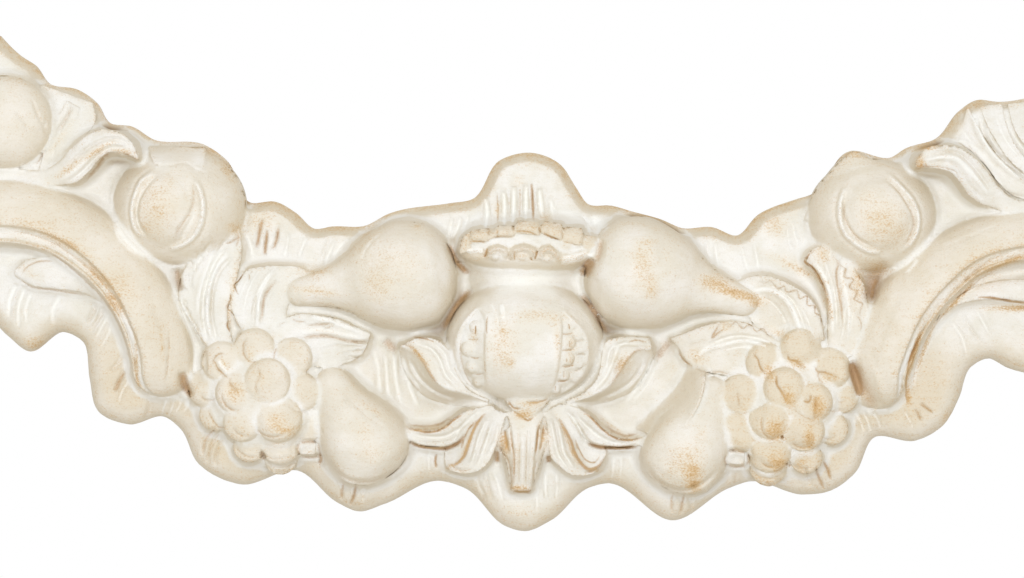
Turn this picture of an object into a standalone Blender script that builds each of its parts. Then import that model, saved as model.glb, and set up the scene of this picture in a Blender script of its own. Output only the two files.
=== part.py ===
# Wooden overdoor frieze: one board carved in high relief with a pomegranate, pears, berries, leaves and scrolls
import math

import bmesh
import bpy
import numpy as np

# Driving dimensions, in metres
LENGTH = 0.800             # the length shown, cut square at both ends
BOARD_THICKNESS = 0.030    # from the flat back to the face that the carving stands on
CHAMFER_WIDTH = 0.009      # sloping top edge of the board
CHAMFER_DROP = 0.018
ROLL_WIDTH = 0.018         # rounded bottom edge of the board
ROLL_DROP = 0.022
GOUGE_WIDTH = 0.0040       # flutes cut in the ground with a small gouge
GOUGE_DEPTH = 0.0018

# The carving is laid out in parts, 800 to the length. x and z lie on the wall, from the middle of the
# back, and a rise is measured out from the board's face.
PART = LENGTH / 800
HALF = LENGTH / PART / 2   # half the length, in parts
OVERRUN = 8                # how far the forms run on past the square-cut ends
SINK = 14                  # how deep the roots of the ornaments lie in the board
TRIANGLES = 9400           # facets of the finished solid

# Crests and notches of the board's two wavy edges, from left to right
TOP_EDGE = (
    (-412, 240), (-384, 212), (-373, 205), (-363, 192), (-340, 187), (-326, 177), (-317, 163),
    (-299, 160), (-284, 151), (-244, 147), (-228, 136), (-209, 104), (-190, 105), (-175, 95),
    (-160, 83), (-122, 88), (-105, 97), (-58, 106), (-42, 109), (-21, 139), (3, 145), (24, 137),
    (37, 119), (46, 106), (79, 101), (102, 96), (117, 90), (140, 91), (159, 85), (175, 101),
    (215, 115), (243, 150), (275, 144), (309, 161), (326, 182), (338, 190), (355, 189),
    (378, 193), (412, 215))
BOTTOM_EDGE = (
    (-412, 22), (-389, -1), (-375, -11), (-348, 4), (-334, -3), (-329, -28), (-321, -56),
    (-298, -65), (-271, -59), (-259, -68), (-246, -93), (-213, -109), (-170, -96), (-139, -122),
    (-124, -128), (-104, -122), (-62, -103), (-44, -109), (-11, -138), (2, -141), (21, -133),
    (51, -106), (62, -103), (115, -131), (156, -106), (170, -101), (213, -110), (251, -91),
    (265, -66), (296, -68), (317, -56), (329, -34), (337, -12), (350, -5), (366, -12), (412, -20))

# Groups of flutes: x of the first, z of its top, its length, how many, their spacing and their lean
FLUTES = (
    (-30, 119, 29, 6, 8.2, 0), (-204, 87, 23, 3, 7.9, 0), (-179, 79, 20, 1, 0, 0),
    (-155, 79, 24, 3, 6, -4), (-54, 101, 23, 3, 4.5, -5), (44, 99, 20, 2, 5.2, 2),
    (136, 77, 13, 1, 0, 3), (165, 78, 17, 2, 7.5, 2), (198, 86, 19, 1, 0, 4),
    (-386, 34, 29, 3, 6, 6), (-317, 26, 32, 4, -6, -10), (-301, -18, 29, 1, 0, -6),
    (-285, -47, 14, 4, 9, -3), (-232, -68, 32, 3, 6.8, -8), (-131, -104, 20, 2, 9, -4),
    (-65, -84, 19, 1, 0, 0), (-26, -95, 29, 2, 7.5, 4), (17, -92, 30, 2, 7.5, 2),
    (-104, -6, 38, 4, 5.2, 4), (87, -18, 30, 2, 6, -15), (112, -107, 18, 3, 7.5, 0),
    (213, -85, 21, 3, 6, 8), (250, -41, 22, 2, 8.2, 10), (294, -48, 15, 2, 6, 8),
    (324, 25, 24, 2, 7.5, 12))

# Fruit: x, z and rise of the middle, then its half width, half height and half depth
POMEGRANATE = (0, 2, 14, 59, 53, 50)
PEACHES = ((-261, 100, 14, 48, 43, 38), (259, 103, 14, 46, 42, 38))
END_FRUIT = (-402, 160, 10, 36, 36, 30)
# Where a peach's husk has opened: x and z of the middle, half width, half height
HUSKS = ((-269, 97, 28, 31), (264, 99, 30, 34))
HUSK_LIP = 2.6             # how far the husk's edge stands up, and how wide it is
HUSK_LIP_WIDTH = 3.2

# Pears: the butt end and the tip of the axis (x, z, rise) and the radius of the belly
PEARS = (
    ((-52, 56, 16), (-180, 35, 14), 41), ((44, 63, 18), (174, 32, 14), 42),
    ((-100, -100, 10), (-150, -20, 14), 32), ((107, -106, 10), (146, -22, 14), 32))

# Berries: x, z, rise of the middle and radius
BERRIES = (
    (-226, -16, 20, 13.5), (-202, -6, 22, 13.5), (-174, -12, 20, 13), (-238, -36, 12, 12.5),
    (-215, -39, 26, 13.5), (-192, -30, 30, 15), (-168, -38, 20, 13), (-231, -56, 12, 10.5),
    (-210, -61, 24, 12.5), (-183, -58, 28, 15), (-162, -62, 14, 11), (-205, -79, 14, 10.5),
    (-182, -78, 16, 12.5), (-162, -80, 8, 8), (-182, -88, 6, 10.5),
    (180, -10, 20, 13), (206, 0, 22, 13.5), (228, -14, 20, 13.5), (162, -35, 20, 13.5),
    (194, -29, 30, 13.5), (215, -39, 28, 13), (238, -35, 14, 10.5), (162, -61, 20, 14),
    (184, -52, 28, 13.5), (209, -60, 26, 13.5), (231, -59, 14, 10.5), (160, -82, 8, 9),
    (184, -76, 20, 14), (212, -81, 12, 10.5), (184, -89, 8, 12))
BERRY_BEDS = ((-200, -44, 2, 42, 42, 22), (200, -42, 2, 42, 44, 22))

# Scrolls, leaves and stems: x, z, rise and half width along each midline
LEFT_SCROLL = (
    (-416, 93, 32, 25.5), (-378, 93, 34, 25.5), (-351, 86, 36, 25), (-324, 71, 37, 25),
    (-300, 48, 37, 24), (-282, 20, 36, 24), (-272, -9, 32, 24), (-271, -43, 22, 22))
RIGHT_SCROLL = (
    (416, 87, 32, 20), (359, 86, 34, 20), (332, 77, 36, 21), (307, 59, 37, 22.5),
    (284, 34, 37, 24), (270, 6, 36, 24), (264, -19, 33, 22.5), (272, -43, 24, 18))
VINE_LEAVES = (
    ((-234, -9, 18, 10), (-240, 17, 18, 16), (-242, 37, 18, 19), (-232, 59, 16, 18),
     (-222, 73, 13, 11), (-212, 86, 10, 1.5)),
    ((-202, -7, 17, 19), (-197, 19, 15, 24), (-188, 38, 13, 20), (-171, 50, 10, 10),
     (-153, 53, 8, 1.5)),
    ((-191, -9, 18, 9), (-169, -1, 16, 18), (-142, -1, 14, 16), (-113, 2, 10, 3)),
    ((242, -6, 20, 9), (244, 15, 20, 13), (240, 38, 20, 16), (232, 58, 20, 18),
     (220, 75, 18, 10), (212, 83, 14, 2)),
    ((215, -4, 20, 11), (213, 21, 18, 12.5), (199, 41, 16, 11), (178, 49, 13, 7.5),
     (157, 52, 8, 1.5)),
    ((185, -4, 18, 10), (157, 0, 17, 18), (131, 1, 14, 15.5), (108, 7, 8, 2.5)))
CALYX_LEAVES = (
    ((-20, -40, 22, 8), (-52, -34, 22, 13), (-72, -17, 18, 14), (-91, 2, 12, 2.5)),
    ((22, -40, 22, 8), (55, -34, 22, 13), (75, -16, 18, 14), (94, 4, 12, 2.5)),
    ((-18, -44, 26, 6), (-46, -60, 27, 9), (-68, -69, 23, 8), (-89, -71, 14, 4)),
    ((-14, -46, 30, 8), (-33, -74, 31, 8), (-42, -88, 26, 6), (-57, -94, 15, 2)),
    ((16, -46, 30, 8), (30, -74, 31, 8), (42, -90, 26, 6), (62, -88, 17, 3)),
    ((20, -43, 26, 6), (50, -60, 27, 9), (71, -69, 23, 8), (92, -73, 14, 4)),
    ((-12, -50, 28, 7), (-19, -68, 28, 8), (-11, -88, 16, 2)),
    ((11, -50, 28, 7), (18, -68, 28, 8), (12, -87, 16, 2)))
STEM = (
    (-1, -40, 24, 20), (-1, -55, 29, 21), (-1, -67, 31, 18), (-1, -79, 29, 11.5),
    (-1, -93, 25, 8.5), (-1, -109, 18, 7.5))
ACANTHUS = (
    ((-416, 110, 12, 8), (-372, 116, 18, 9), (-348, 127, 26, 11), (-325, 141, 32, 11),
     (-306, 147, 35, 9), (-290, 141, 26, 4)),
    ((416, 92, 14, 12), (357, 123, 22, 12), (332, 139, 30, 12), (311, 145, 35, 9),
     (293, 142, 27, 4)),
    ((-380, 120, 10, 14), (-360, 148, 12, 17), (-342, 167, 10, 14), (-328, 181, 3, 3)),
    ((324, 186, 3, 4), (342, 160, 12, 10), (361, 135, 15, 10), (384, 116, 15, 8)),
    ((344, 188, 3, 4), (358, 166, 12, 10), (378, 140, 15, 10), (402, 124, 15, 8)),
    ((366, 190, 3, 4), (378, 172, 12, 10), (396, 148, 15, 10), (416, 134, 15, 8)),
    ((-305, 24, 8, 7), (-334, 36, 12, 11), (-361, 46, 11, 8), (-384, 53, 5, 2)),
    ((318, 24, 8, 6), (348, 38, 14, 8), (385, 41, 12, 8), (416, 40, 12, 8)))

# Section of a scroll from its outer edge to its inner one: place across, and share of the rise
SCROLL_SECTION = (
    (-1, 0.05), (-0.9, 0.42), (-0.7, 0.62), (-0.4, 0.78), (-0.1, 0.90), (0.2, 0.98), (0.42, 1.0),
    (0.50, 0.94), (0.55, 0.76), (0.66, 0.70), (0.76, 0.76), (0.86, 0.66), (0.95, 0.35), (1, 0.05))

# The crown on the pomegranate: z, rise and half width of its neck, its bowl and its rim
CROWN = ((38, 14, 24), (53, 17, 21), (56, 20, 27), (58.5, 23, 36), (64, 26, 45), (71, 28, 50))
CROWN_DEPTH = 0.5                # its depth as a share of its width
CROWN_TILT = math.radians(13)    # how far the mouth leans out of the wall
CROWN_PETALS = 14
PETAL_HEIGHT = 8
CROWN_DISH = 9                   # depth of the hollow inside the rim

# The sunk windows of seeds: z of the top and bottom, then x of the inner and of the outer edge, each
# as its top, its bottom and its bulge
SEED_WINDOWS = (
    (24, -37, (-28, -28, -4), (-35, -35, -14)),
    (22, -38, (30, 19, 3), (32, 22, 20)))
WINDOW_DEPTH = 3.5
SEED_COLUMNS = ((-33, -33, -6, 19, -31, 5), (32, 24, 5, 14, -33, 5), (38, 33, 4, 9, -25, 4))
SEED_RADIUS = 5.4


def spline(knots, count):
    """Points along a smooth curve through the knots, which may have any number of columns."""
    knots = np.array(knots, float)
    reach = np.linalg.norm(np.diff(knots[:, :2], axis=0), axis=1)
    place = np.concatenate(([0.0], np.cumsum(reach)))
    slope = np.gradient(knots, place, axis=0)
    along = np.linspace(0, place[-1], count)
    i = np.clip(np.searchsorted(place, along, side="right") - 1, 0, len(reach) - 1)
    h = reach[i][:, None]
    u = (along[:, None] - place[i][:, None]) / h
    start = (1 + 2 * u) * (1 - u) ** 2 * knots[i] + u * (1 - u) ** 2 * h * slope[i]
    end = u * u * (3 - 2 * u) * knots[i + 1] + u * u * (u - 1) * h * slope[i + 1]
    return start + end


def in_metres(points):
    """Turn x, z and rise in parts into a place in metres, out from the board's face."""
    points = np.asarray(points, float)
    rise = BOARD_THICKNESS + points[..., 2] * PART
    return np.stack((points[..., 0] * PART, -rise, points[..., 1] * PART), axis=-1)


def skin(rings):
    """A closed mesh through rings of points in metres, with flat ends, facing outwards."""
    rings = np.asarray(rings)
    count, around = rings.shape[:2]
    faces = []
    for i in range(count - 1):
        for j in range(around):
            k = (j + 1) % around
            faces.append((i * around + j, i * around + k, (i + 1) * around + k, (i + 1) * around + j))
    faces.append(tuple(range(around)))
    faces.append(tuple((count - 1) * around + j for j in range(around)))
    mesh = bpy.data.meshes.new("form")
    mesh.from_pydata(rings.reshape(-1, 3).tolist(), [], faces)
    form = bmesh.new()
    form.from_mesh(mesh)
    bmesh.ops.recalc_face_normals(form, faces=form.faces)
    form.to_mesh(mesh)
    form.free()
    return bpy.data.objects.new("form", mesh)


def flute_depth(x, z):
    """Depth of the gouged flutes at places on the board's face, in metres."""
    depth = np.zeros_like(x)
    for first, top, length, count, spacing, lean in FLUTES:
        for n in range(count):
            down = (top * PART - z) / (length * PART)
            middle = (first + n * spacing + lean * down) * PART
            across = np.clip(np.abs(x - middle) / (GOUGE_WIDTH / 2), 0, 1)
            ends = np.clip(4 * down * (1 - down), 0, 1) ** 0.5
            depth = np.maximum(depth, GOUGE_DEPTH * np.cos(across * math.pi / 2) * ends)
    return depth


def board():
    """The ground board, with its wavy outline, sloping top edge, rolled bottom edge and flutes."""
    step = 1.2 * PART
    x = np.arange(-(HALF + OVERRUN) * PART, (HALF + OVERRUN) * PART, step)
    top_curve = spline(TOP_EDGE, 1200) * PART
    bottom_curve = spline(BOTTOM_EDGE, 1200) * PART
    top = np.interp(x, top_curve[:, 0], top_curve[:, 1])
    bottom = np.interp(x, bottom_curve[:, 0], bottom_curve[:, 1])
    # The edges keep their width square to the outline, so on a slope they are wider up and down
    chamfer = CHAMFER_WIDTH * np.minimum(np.hypot(1, np.gradient(top, step)), 2.5)
    roll = ROLL_WIDTH * np.minimum(np.hypot(1, np.gradient(bottom, step)), 2.5)
    back = -OVERRUN * PART
    columns = [(bottom, np.full_like(x, back))]
    for u in np.linspace(0, 1, 10, endpoint=False):
        columns.append((bottom + roll * u, BOARD_THICKNESS - ROLL_DROP * (1 - np.sqrt(1 - (1 - u) ** 2)) + 0 * x))
    low = bottom + roll
    high = top - chamfer
    for u in np.linspace(0, 1, 150):
        z = low + (high - low) * u
        columns.append((z, BOARD_THICKNESS - flute_depth(x, z)))
    for u in np.linspace(0, 1, 7)[1:]:
        columns.append((high + chamfer * u, BOARD_THICKNESS - CHAMFER_DROP * u ** 1.3 + 0 * x))
    columns.append((top, np.full_like(x, back)))
    rings = [np.stack((x, -height, z), axis=-1) for z, height in columns]
    return skin(np.stack(rings, axis=1))


def ball(x, z, rise, half_width, half_height, half_depth, relief=None):
    """A rounded fruit. relief(x, z) is what is carved on its front, as a depth in parts."""
    rounds, around = (28, 40) if relief is None else (110, 150)
    turn = np.linspace(0, 2 * math.pi, around, endpoint=False)
    rings = []
    for lat in np.linspace(0.03, math.pi - 0.03, rounds):
        ring_x = x + half_width * math.sin(lat) * np.cos(turn)
        ring_z = z + half_height * math.cos(lat) + 0 * turn
        out = half_depth * math.sin(lat) * np.sin(turn)
        if relief is not None:
            out -= relief(ring_x, ring_z) * (out > 0)
        rings.append(in_metres(np.stack((ring_x, ring_z, rise + out), axis=-1)))
    return skin(rings)


def husk_opening(middle_x, middle_z, half_width, half_height):
    """The raised edge where a husk has opened, and the shallow hollow just inside it."""
    def relief(x, z):
        share = np.hypot((x - middle_x) / half_width, (z - middle_z) / half_height)
        away = (share - 1) * (half_width + half_height) / 2
        side = np.abs(x - middle_x) / half_width
        lip = HUSK_LIP * np.exp(-(away / HUSK_LIP_WIDTH) ** 2) * np.clip(2 * side, 0.2, 1)
        hollow = np.exp(-((away + 2 * HUSK_LIP_WIDTH) / (2 * HUSK_LIP_WIDTH)) ** 2)
        return hollow - lip
    return relief


def seed_windows(x, z):
    """The two sunk windows on the front of the pomegranate."""
    depth = np.zeros_like(x)
    for top, bottom, inner, outer in SEED_WINDOWS:
        down = np.clip((top - z) / (top - bottom), 0, 1)
        bulge = np.sin(math.pi * down)
        edges = [first + (last - first) * down + swell * bulge for first, last, swell in (inner, outer)]
        inside = np.minimum(x - min(edges, key=np.min), max(edges, key=np.max) - x)
        inside = np.minimum(inside, np.minimum(top - z, z - bottom))
        depth = np.maximum(depth, WINDOW_DEPTH * np.clip(inside / 2.5, 0, 1))
    return depth


def turned(axis, radii):
    """A form turned round an axis that lies in front of the board, such as a pear or a stem."""
    axis = np.asarray(axis, float)
    way = np.gradient(axis[:, :2], axis=0)
    way /= np.linalg.norm(way, axis=1)[:, None]
    around = np.linspace(0, 2 * math.pi, 36, endpoint=False)
    rings = []
    for (x, z, rise), (dx, dz), radius in zip(axis, way, radii):
        ring = np.stack((
            x - dz * radius * np.cos(around),
            z + dx * radius * np.cos(around),
            rise + radius * np.sin(around)), axis=-1)
        rings.append(in_metres(ring))
    return skin(rings)


def pear(butt, tip, belly):
    """A pear: the share of the belly's radius at places from the butt end to the tip."""
    profile = spline((
        (0, 0.02), (0.02, 0.38), (0.08, 0.70), (0.18, 0.93), (0.30, 1.0), (0.43, 0.95), (0.55, 0.78),
        (0.66, 0.56), (0.77, 0.40), (0.88, 0.31), (0.95, 0.24), (0.985, 0.13), (1, 0.02)), 60)
    share = np.clip(profile[:, 0], 0, 1)[:, None]
    axis = np.array(butt) + (np.array(tip) - np.array(butt)) * share
    return turned(axis, np.maximum(profile[:, 1], 0.02) * belly)


def strip(midline, section, steps=60):
    """A carved band along a midline. section(along, across) gives the widening and the share of the rise."""
    line = spline(midline, steps)
    way = np.gradient(line[:, :2], axis=0)
    way /= np.linalg.norm(way, axis=1)[:, None]
    across = np.linspace(-1, 1, 31)
    rings = []
    for i, (x, z, rise, half) in enumerate(line):
        widening, share = section(i / (steps - 1), across)
        reach = across * widening * max(half, 0.5)
        front = np.stack((x - way[i, 1] * reach, z + way[i, 0] * reach, rise * share), axis=-1)
        root = front[::-1][[0, -1]].copy()
        root[:, 2] = -SINK
        rings.append(in_metres(np.vstack((front, root))))
    return skin(rings)


def scroll(midline, outer_side):
    """A large scroll: a rounded back, a sharp ridge, and a sunk band with a bead along the inner edge."""
    places, shares = np.array(SCROLL_SECTION).T

    def section(along, across):
        end = math.sqrt(max(1 - max((along - 0.93) / 0.07, 0) ** 2, 0.02))
        return end, np.interp(-across * outer_side, places, shares) * end ** 0.7
    return strip(midline, section, 90)


def vine_leaf(midline):
    """A serrated leaf with a raised midrib, side veins and hollows between them."""
    def section(along, across):
        teeth = 1 + 0.10 * (1 - (along * 7) % 1)
        rib = 0.35 * np.exp(-(across / 0.13) ** 2)
        veins = 0.12 * np.cos((along * 5 - np.abs(across) * 1.2) * 2 * math.pi)
        share = 0.62 + 0.25 * np.abs(across) ** 2 + rib + veins * (1 - across ** 2)
        return teeth, share * np.minimum(1, (1 - across ** 2) * 12 + 0.3)
    return strip(midline, section)


def ridged_leaf(midline):
    """A pointed calyx leaf with a sharp ridge off its middle."""
    def section(along, across):
        share = 1 - 0.55 * np.abs(across - 0.2) ** 1.2
        return 1, share * np.minimum(1, (1 - across ** 2) * 6 + 0.2)
    return strip(midline, section)


def acanthus_rib(midline):
    """A rib of acanthus, rounded, with a groove along it."""
    def section(along, across):
        groove = 0.22 * np.exp(-((across - 0.1) / 0.16) ** 2)
        return 1, np.sqrt(np.clip(1 - across ** 2, 0.02, 1)) - groove
    return strip(midline, section)


def stem_section(along, across):
    """The stem: a flat rounded front with three grooves."""
    grooves = 0.10 * (1 + np.cos(across * 3.5 * math.pi)) / 2
    return 1, np.clip(1 - across ** 4, 0.05, 1) ** 0.5 - grooves


def crown():
    """The pomegranate's crown: a neck that flares to a leaning, hollow, scalloped rim."""
    around = np.linspace(0, 2 * math.pi, 112, endpoint=False)
    lean = math.tan(CROWN_TILT)
    petals = np.abs(np.cos(CROWN_PETALS / 2 * around)) ** 0.7
    foot, rim = CROWN[0][0], CROWN[-1]
    rings = []
    for level, rise, half in CROWN:
        reach = half * CROWN_DEPTH * np.sin(around)
        grown = (level - foot) / (rim[0] - foot)
        tall = level - lean * reach * grown ** 2 + PETAL_HEIGHT * petals * grown ** 8
        rings.append(np.stack((half * np.cos(around), tall, rise + reach), axis=-1))
    for share, drop in ((0.91, 0), (0.84, 0.35), (0.62, 0.8), (0.1, 1)):
        reach = rim[2] * CROWN_DEPTH * share * np.sin(around)
        tall = rim[0] - lean * reach - CROWN_DISH * drop + PETAL_HEIGHT * petals * (drop == 0)
        rings.append(np.stack((rim[2] * share * np.cos(around), tall, rim[1] + reach), axis=-1))
    return skin([in_metres(ring) for ring in rings])


def pomegranate_front(x, z):
    """Rise of the pomegranate's skin at a place on its front."""
    middle_x, middle_z, rise, half_width, half_height, half_depth = POMEGRANATE
    share = 1 - ((x - middle_x) / half_width) ** 2 - ((z - middle_z) / half_height) ** 2
    return rise + half_depth * math.sqrt(max(share, 0))


def seeds():
    """Rows of seeds that stand in the two windows of the pomegranate."""
    forms = []
    for first, last, bulge, top, bottom, count in SEED_COLUMNS:
        for n in range(count):
            down = n / (count - 1)
            x = first + (last - first) * down + bulge * math.sin(math.pi * down)
            z = top + (bottom - top) * down
            sunk = WINDOW_DEPTH + SEED_RADIUS * 0.25
            forms.append(ball(x, z, pomegranate_front(x, z) - sunk, SEED_RADIUS, SEED_RADIUS, SEED_RADIUS))
    return forms


def nub():
    """The pointed foot of the pomegranate, over the stem."""
    return turned(((0, -34, 26), (0, -44, 27), (0, -51, 28), (0, -58, 30)), (23, 19, 12, 2))


def carve(forms):
    """Run the forms together into one skin, and cut the back and the ends flat."""
    for form in forms:
        bpy.context.scene.collection.objects.link(form)
    whole = bmesh.new()
    for form in forms:
        whole.from_mesh(form.data)
        bpy.data.objects.remove(form)
    mesh = bpy.data.meshes.new("frieze")
    whole.to_mesh(mesh)
    whole.free()
    frieze = bpy.data.objects.new("frieze", mesh)
    bpy.context.scene.collection.objects.link(frieze)
    remesh = frieze.modifiers.new("one skin", "REMESH")
    remesh.mode = "VOXEL"
    remesh.voxel_size = 1.6 * PART
    remesh.adaptivity = 0
    soften = frieze.modifiers.new("soften", "SMOOTH")
    soften.factor = 0.5
    soften.iterations = 2
    facets = frieze.modifiers.new("facets", "DECIMATE")
    bpy.context.view_layer.update()
    fine = frieze.evaluated_get(bpy.context.evaluated_depsgraph_get())
    facets.ratio = TRIANGLES / (2 * len(fine.data.polygons))
    facets.use_collapse_triangulate = True
    cut = frieze.modifiers.new("flat back and ends", "BOOLEAN")
    cut.operation = "INTERSECT"
    cut.solver = "EXACT"
    cut.object = trim_box()
    return frieze


def trim_box():
    """The block that the back and both ends are cut flat to."""
    tall = LENGTH
    bpy.ops.mesh.primitive_cube_add(size=1, location=(0, -tall / 2, 0))
    block = bpy.context.object
    block.name = "trim"
    block.scale = (LENGTH, tall, 2 * tall)
    bpy.ops.object.transform_apply(location=False, rotation=False, scale=True)
    block.hide_render = True
    block.display_type = "WIRE"
    return block


def painted_wood():
    """Old carved wood under a worn cream paint."""
    paint = bpy.data.materials.new("painted_wood")
    paint.use_nodes = True
    shader = paint.node_tree.nodes["Principled BSDF"]
    shader.inputs["Base Color"].default_value = (0.86, 0.80, 0.70, 1)
    shader.inputs["Roughness"].default_value = 0.62
    shader.inputs["Metallic"].default_value = 0.0
    return paint


def build():
    for thing in list(bpy.data.objects):
        bpy.data.objects.remove(thing)
    forms = [board(), ball(*POMEGRANATE, seed_windows), crown(), nub(), strip(STEM, stem_section)]
    forms += seeds()
    forms += [ball(*peach, husk_opening(*husk)) for peach, husk in zip(PEACHES, HUSKS)]
    forms += [ball(*fruit) for fruit in BERRY_BEDS + (END_FRUIT,)]
    forms += [pear(*fruit) for fruit in PEARS]
    forms += [ball(x, z, rise, radius, radius, radius) for x, z, rise, radius in BERRIES]
    forms += [scroll(LEFT_SCROLL, 1), scroll(RIGHT_SCROLL, -1)]
    forms += [vine_leaf(midline) for midline in VINE_LEAVES]
    forms += [ridged_leaf(midline) for midline in CALYX_LEAVES]
    forms += [acanthus_rib(midline) for midline in ACANTHUS]
    frieze = carve(forms)
    frieze.data.materials.append(painted_wood())


build()
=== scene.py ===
import math

import bpy
import numpy as np
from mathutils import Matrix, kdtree


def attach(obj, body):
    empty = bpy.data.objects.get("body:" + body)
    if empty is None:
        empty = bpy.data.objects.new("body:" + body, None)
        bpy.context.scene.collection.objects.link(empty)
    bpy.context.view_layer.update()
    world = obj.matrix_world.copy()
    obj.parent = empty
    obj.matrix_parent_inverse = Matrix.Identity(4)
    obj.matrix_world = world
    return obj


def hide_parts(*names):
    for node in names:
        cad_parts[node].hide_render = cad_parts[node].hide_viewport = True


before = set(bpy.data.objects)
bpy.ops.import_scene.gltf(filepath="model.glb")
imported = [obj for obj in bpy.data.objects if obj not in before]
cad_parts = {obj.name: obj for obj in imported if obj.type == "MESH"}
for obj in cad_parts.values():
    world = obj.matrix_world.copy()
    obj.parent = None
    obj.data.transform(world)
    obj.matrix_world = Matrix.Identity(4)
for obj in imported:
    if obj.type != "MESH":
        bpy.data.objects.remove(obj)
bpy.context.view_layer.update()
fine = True

# THE GROUND BOARD
# A plank 30 mm thick with a scalloped outline. Its top edge is cut to a slope, its bottom edge is
# rounded over, and short flutes are cut in its face with a small gouge.
MM = 0.001
FACE = 30.0          # from the flat back to the board's face; rises are measured out from the face
HALF_LENGTH = 400.0
OVERRUN = 8.0        # every form runs on past the back and the square-cut ends, and is cut off later
SINK = 14.0          # how deep the roots of the ornaments lie in the board
CHAMFER_WIDTH, CHAMFER_DROP = 7.5, 18.0
CHAMFER_DISH = 1.1   # 1 is a flat slope, and more than 1 dishes it
ROLL_WIDTH, ROLL_DROP = 18.0, 22.0
EDGE_STEPS = 1600    # points along each wavy edge
BOARD_STEPS = (620, 280) if fine else (420, 200)

TOP_EDGE = (
    (-412, 240), (-384, 212), (-373, 205), (-363, 192), (-340, 187), (-326, 177), (-317, 163),
    (-299, 160), (-284, 151), (-244, 147), (-228, 136), (-209, 104), (-190, 105), (-175, 97),
    (-160, 85), (-147, 87), (-122, 88), (-105, 97), (-58, 106), (-42, 109), (-21, 139), (3, 145),
    (24, 137), (37, 119), (46, 107), (64, 106), (79, 102), (102, 96), (117, 90), (140, 91),
    (159, 85), (175, 101), (203, 113), (215, 117), (243, 150), (275, 146), (286, 153), (309, 161),
    (326, 182), (338, 190), (355, 189), (378, 193), (412, 215))
BOTTOM_EDGE = (
    (-412, 22), (-389, -1), (-375, -11), (-348, 4), (-334, -3), (-329, -28), (-321, -56),
    (-298, -65), (-271, -59), (-259, -68), (-246, -93), (-213, -109), (-170, -98), (-139, -122),
    (-124, -128), (-104, -122), (-62, -104), (-44, -109), (-11, -138), (2, -141), (21, -133),
    (51, -107), (62, -104), (115, -131), (156, -106), (170, -101), (213, -110), (232, -107),
    (251, -93), (265, -66), (296, -68), (317, -56), (329, -34), (337, -12), (350, -5), (366, -12),
    (412, -20))

forms = []
ages = []            # how grey-brown the old paint is on each form, in the order that they are made
# Where the paint has worn through: x and z of the middle, half length, half width, slant of the
# length in degrees, and how bare it is. Each section adds the places on its own piece.
worn = [
    (-8, 122, 5, 3, 0, 0.5), (14, 96, 6, 4, 0, 0.5), (-22, 101, 3, 6, 0, 0.5),
    (27, 130, 12, 2.5, -50, 0.6), (-200, 89, 16, 9, 0, 0.4), (-183, 110, 6, 3, -40, 0.5),
    (186, 92, 10, 8, 0, 0.5), (334, 186, 14, 5, 10, 0.45), (-368, -5, 12, 5, -10, 0.5),
    (-2, -126, 20, 8, 0, 0.3), (318, -50, 11, 8, 0, 0.35), (380, 8, 8, 8, 0, 0.4),
    (62, 103, 18, 3, -12, 0.4), (-110, 98, 14, 2, 12, 0.5)]

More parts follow.
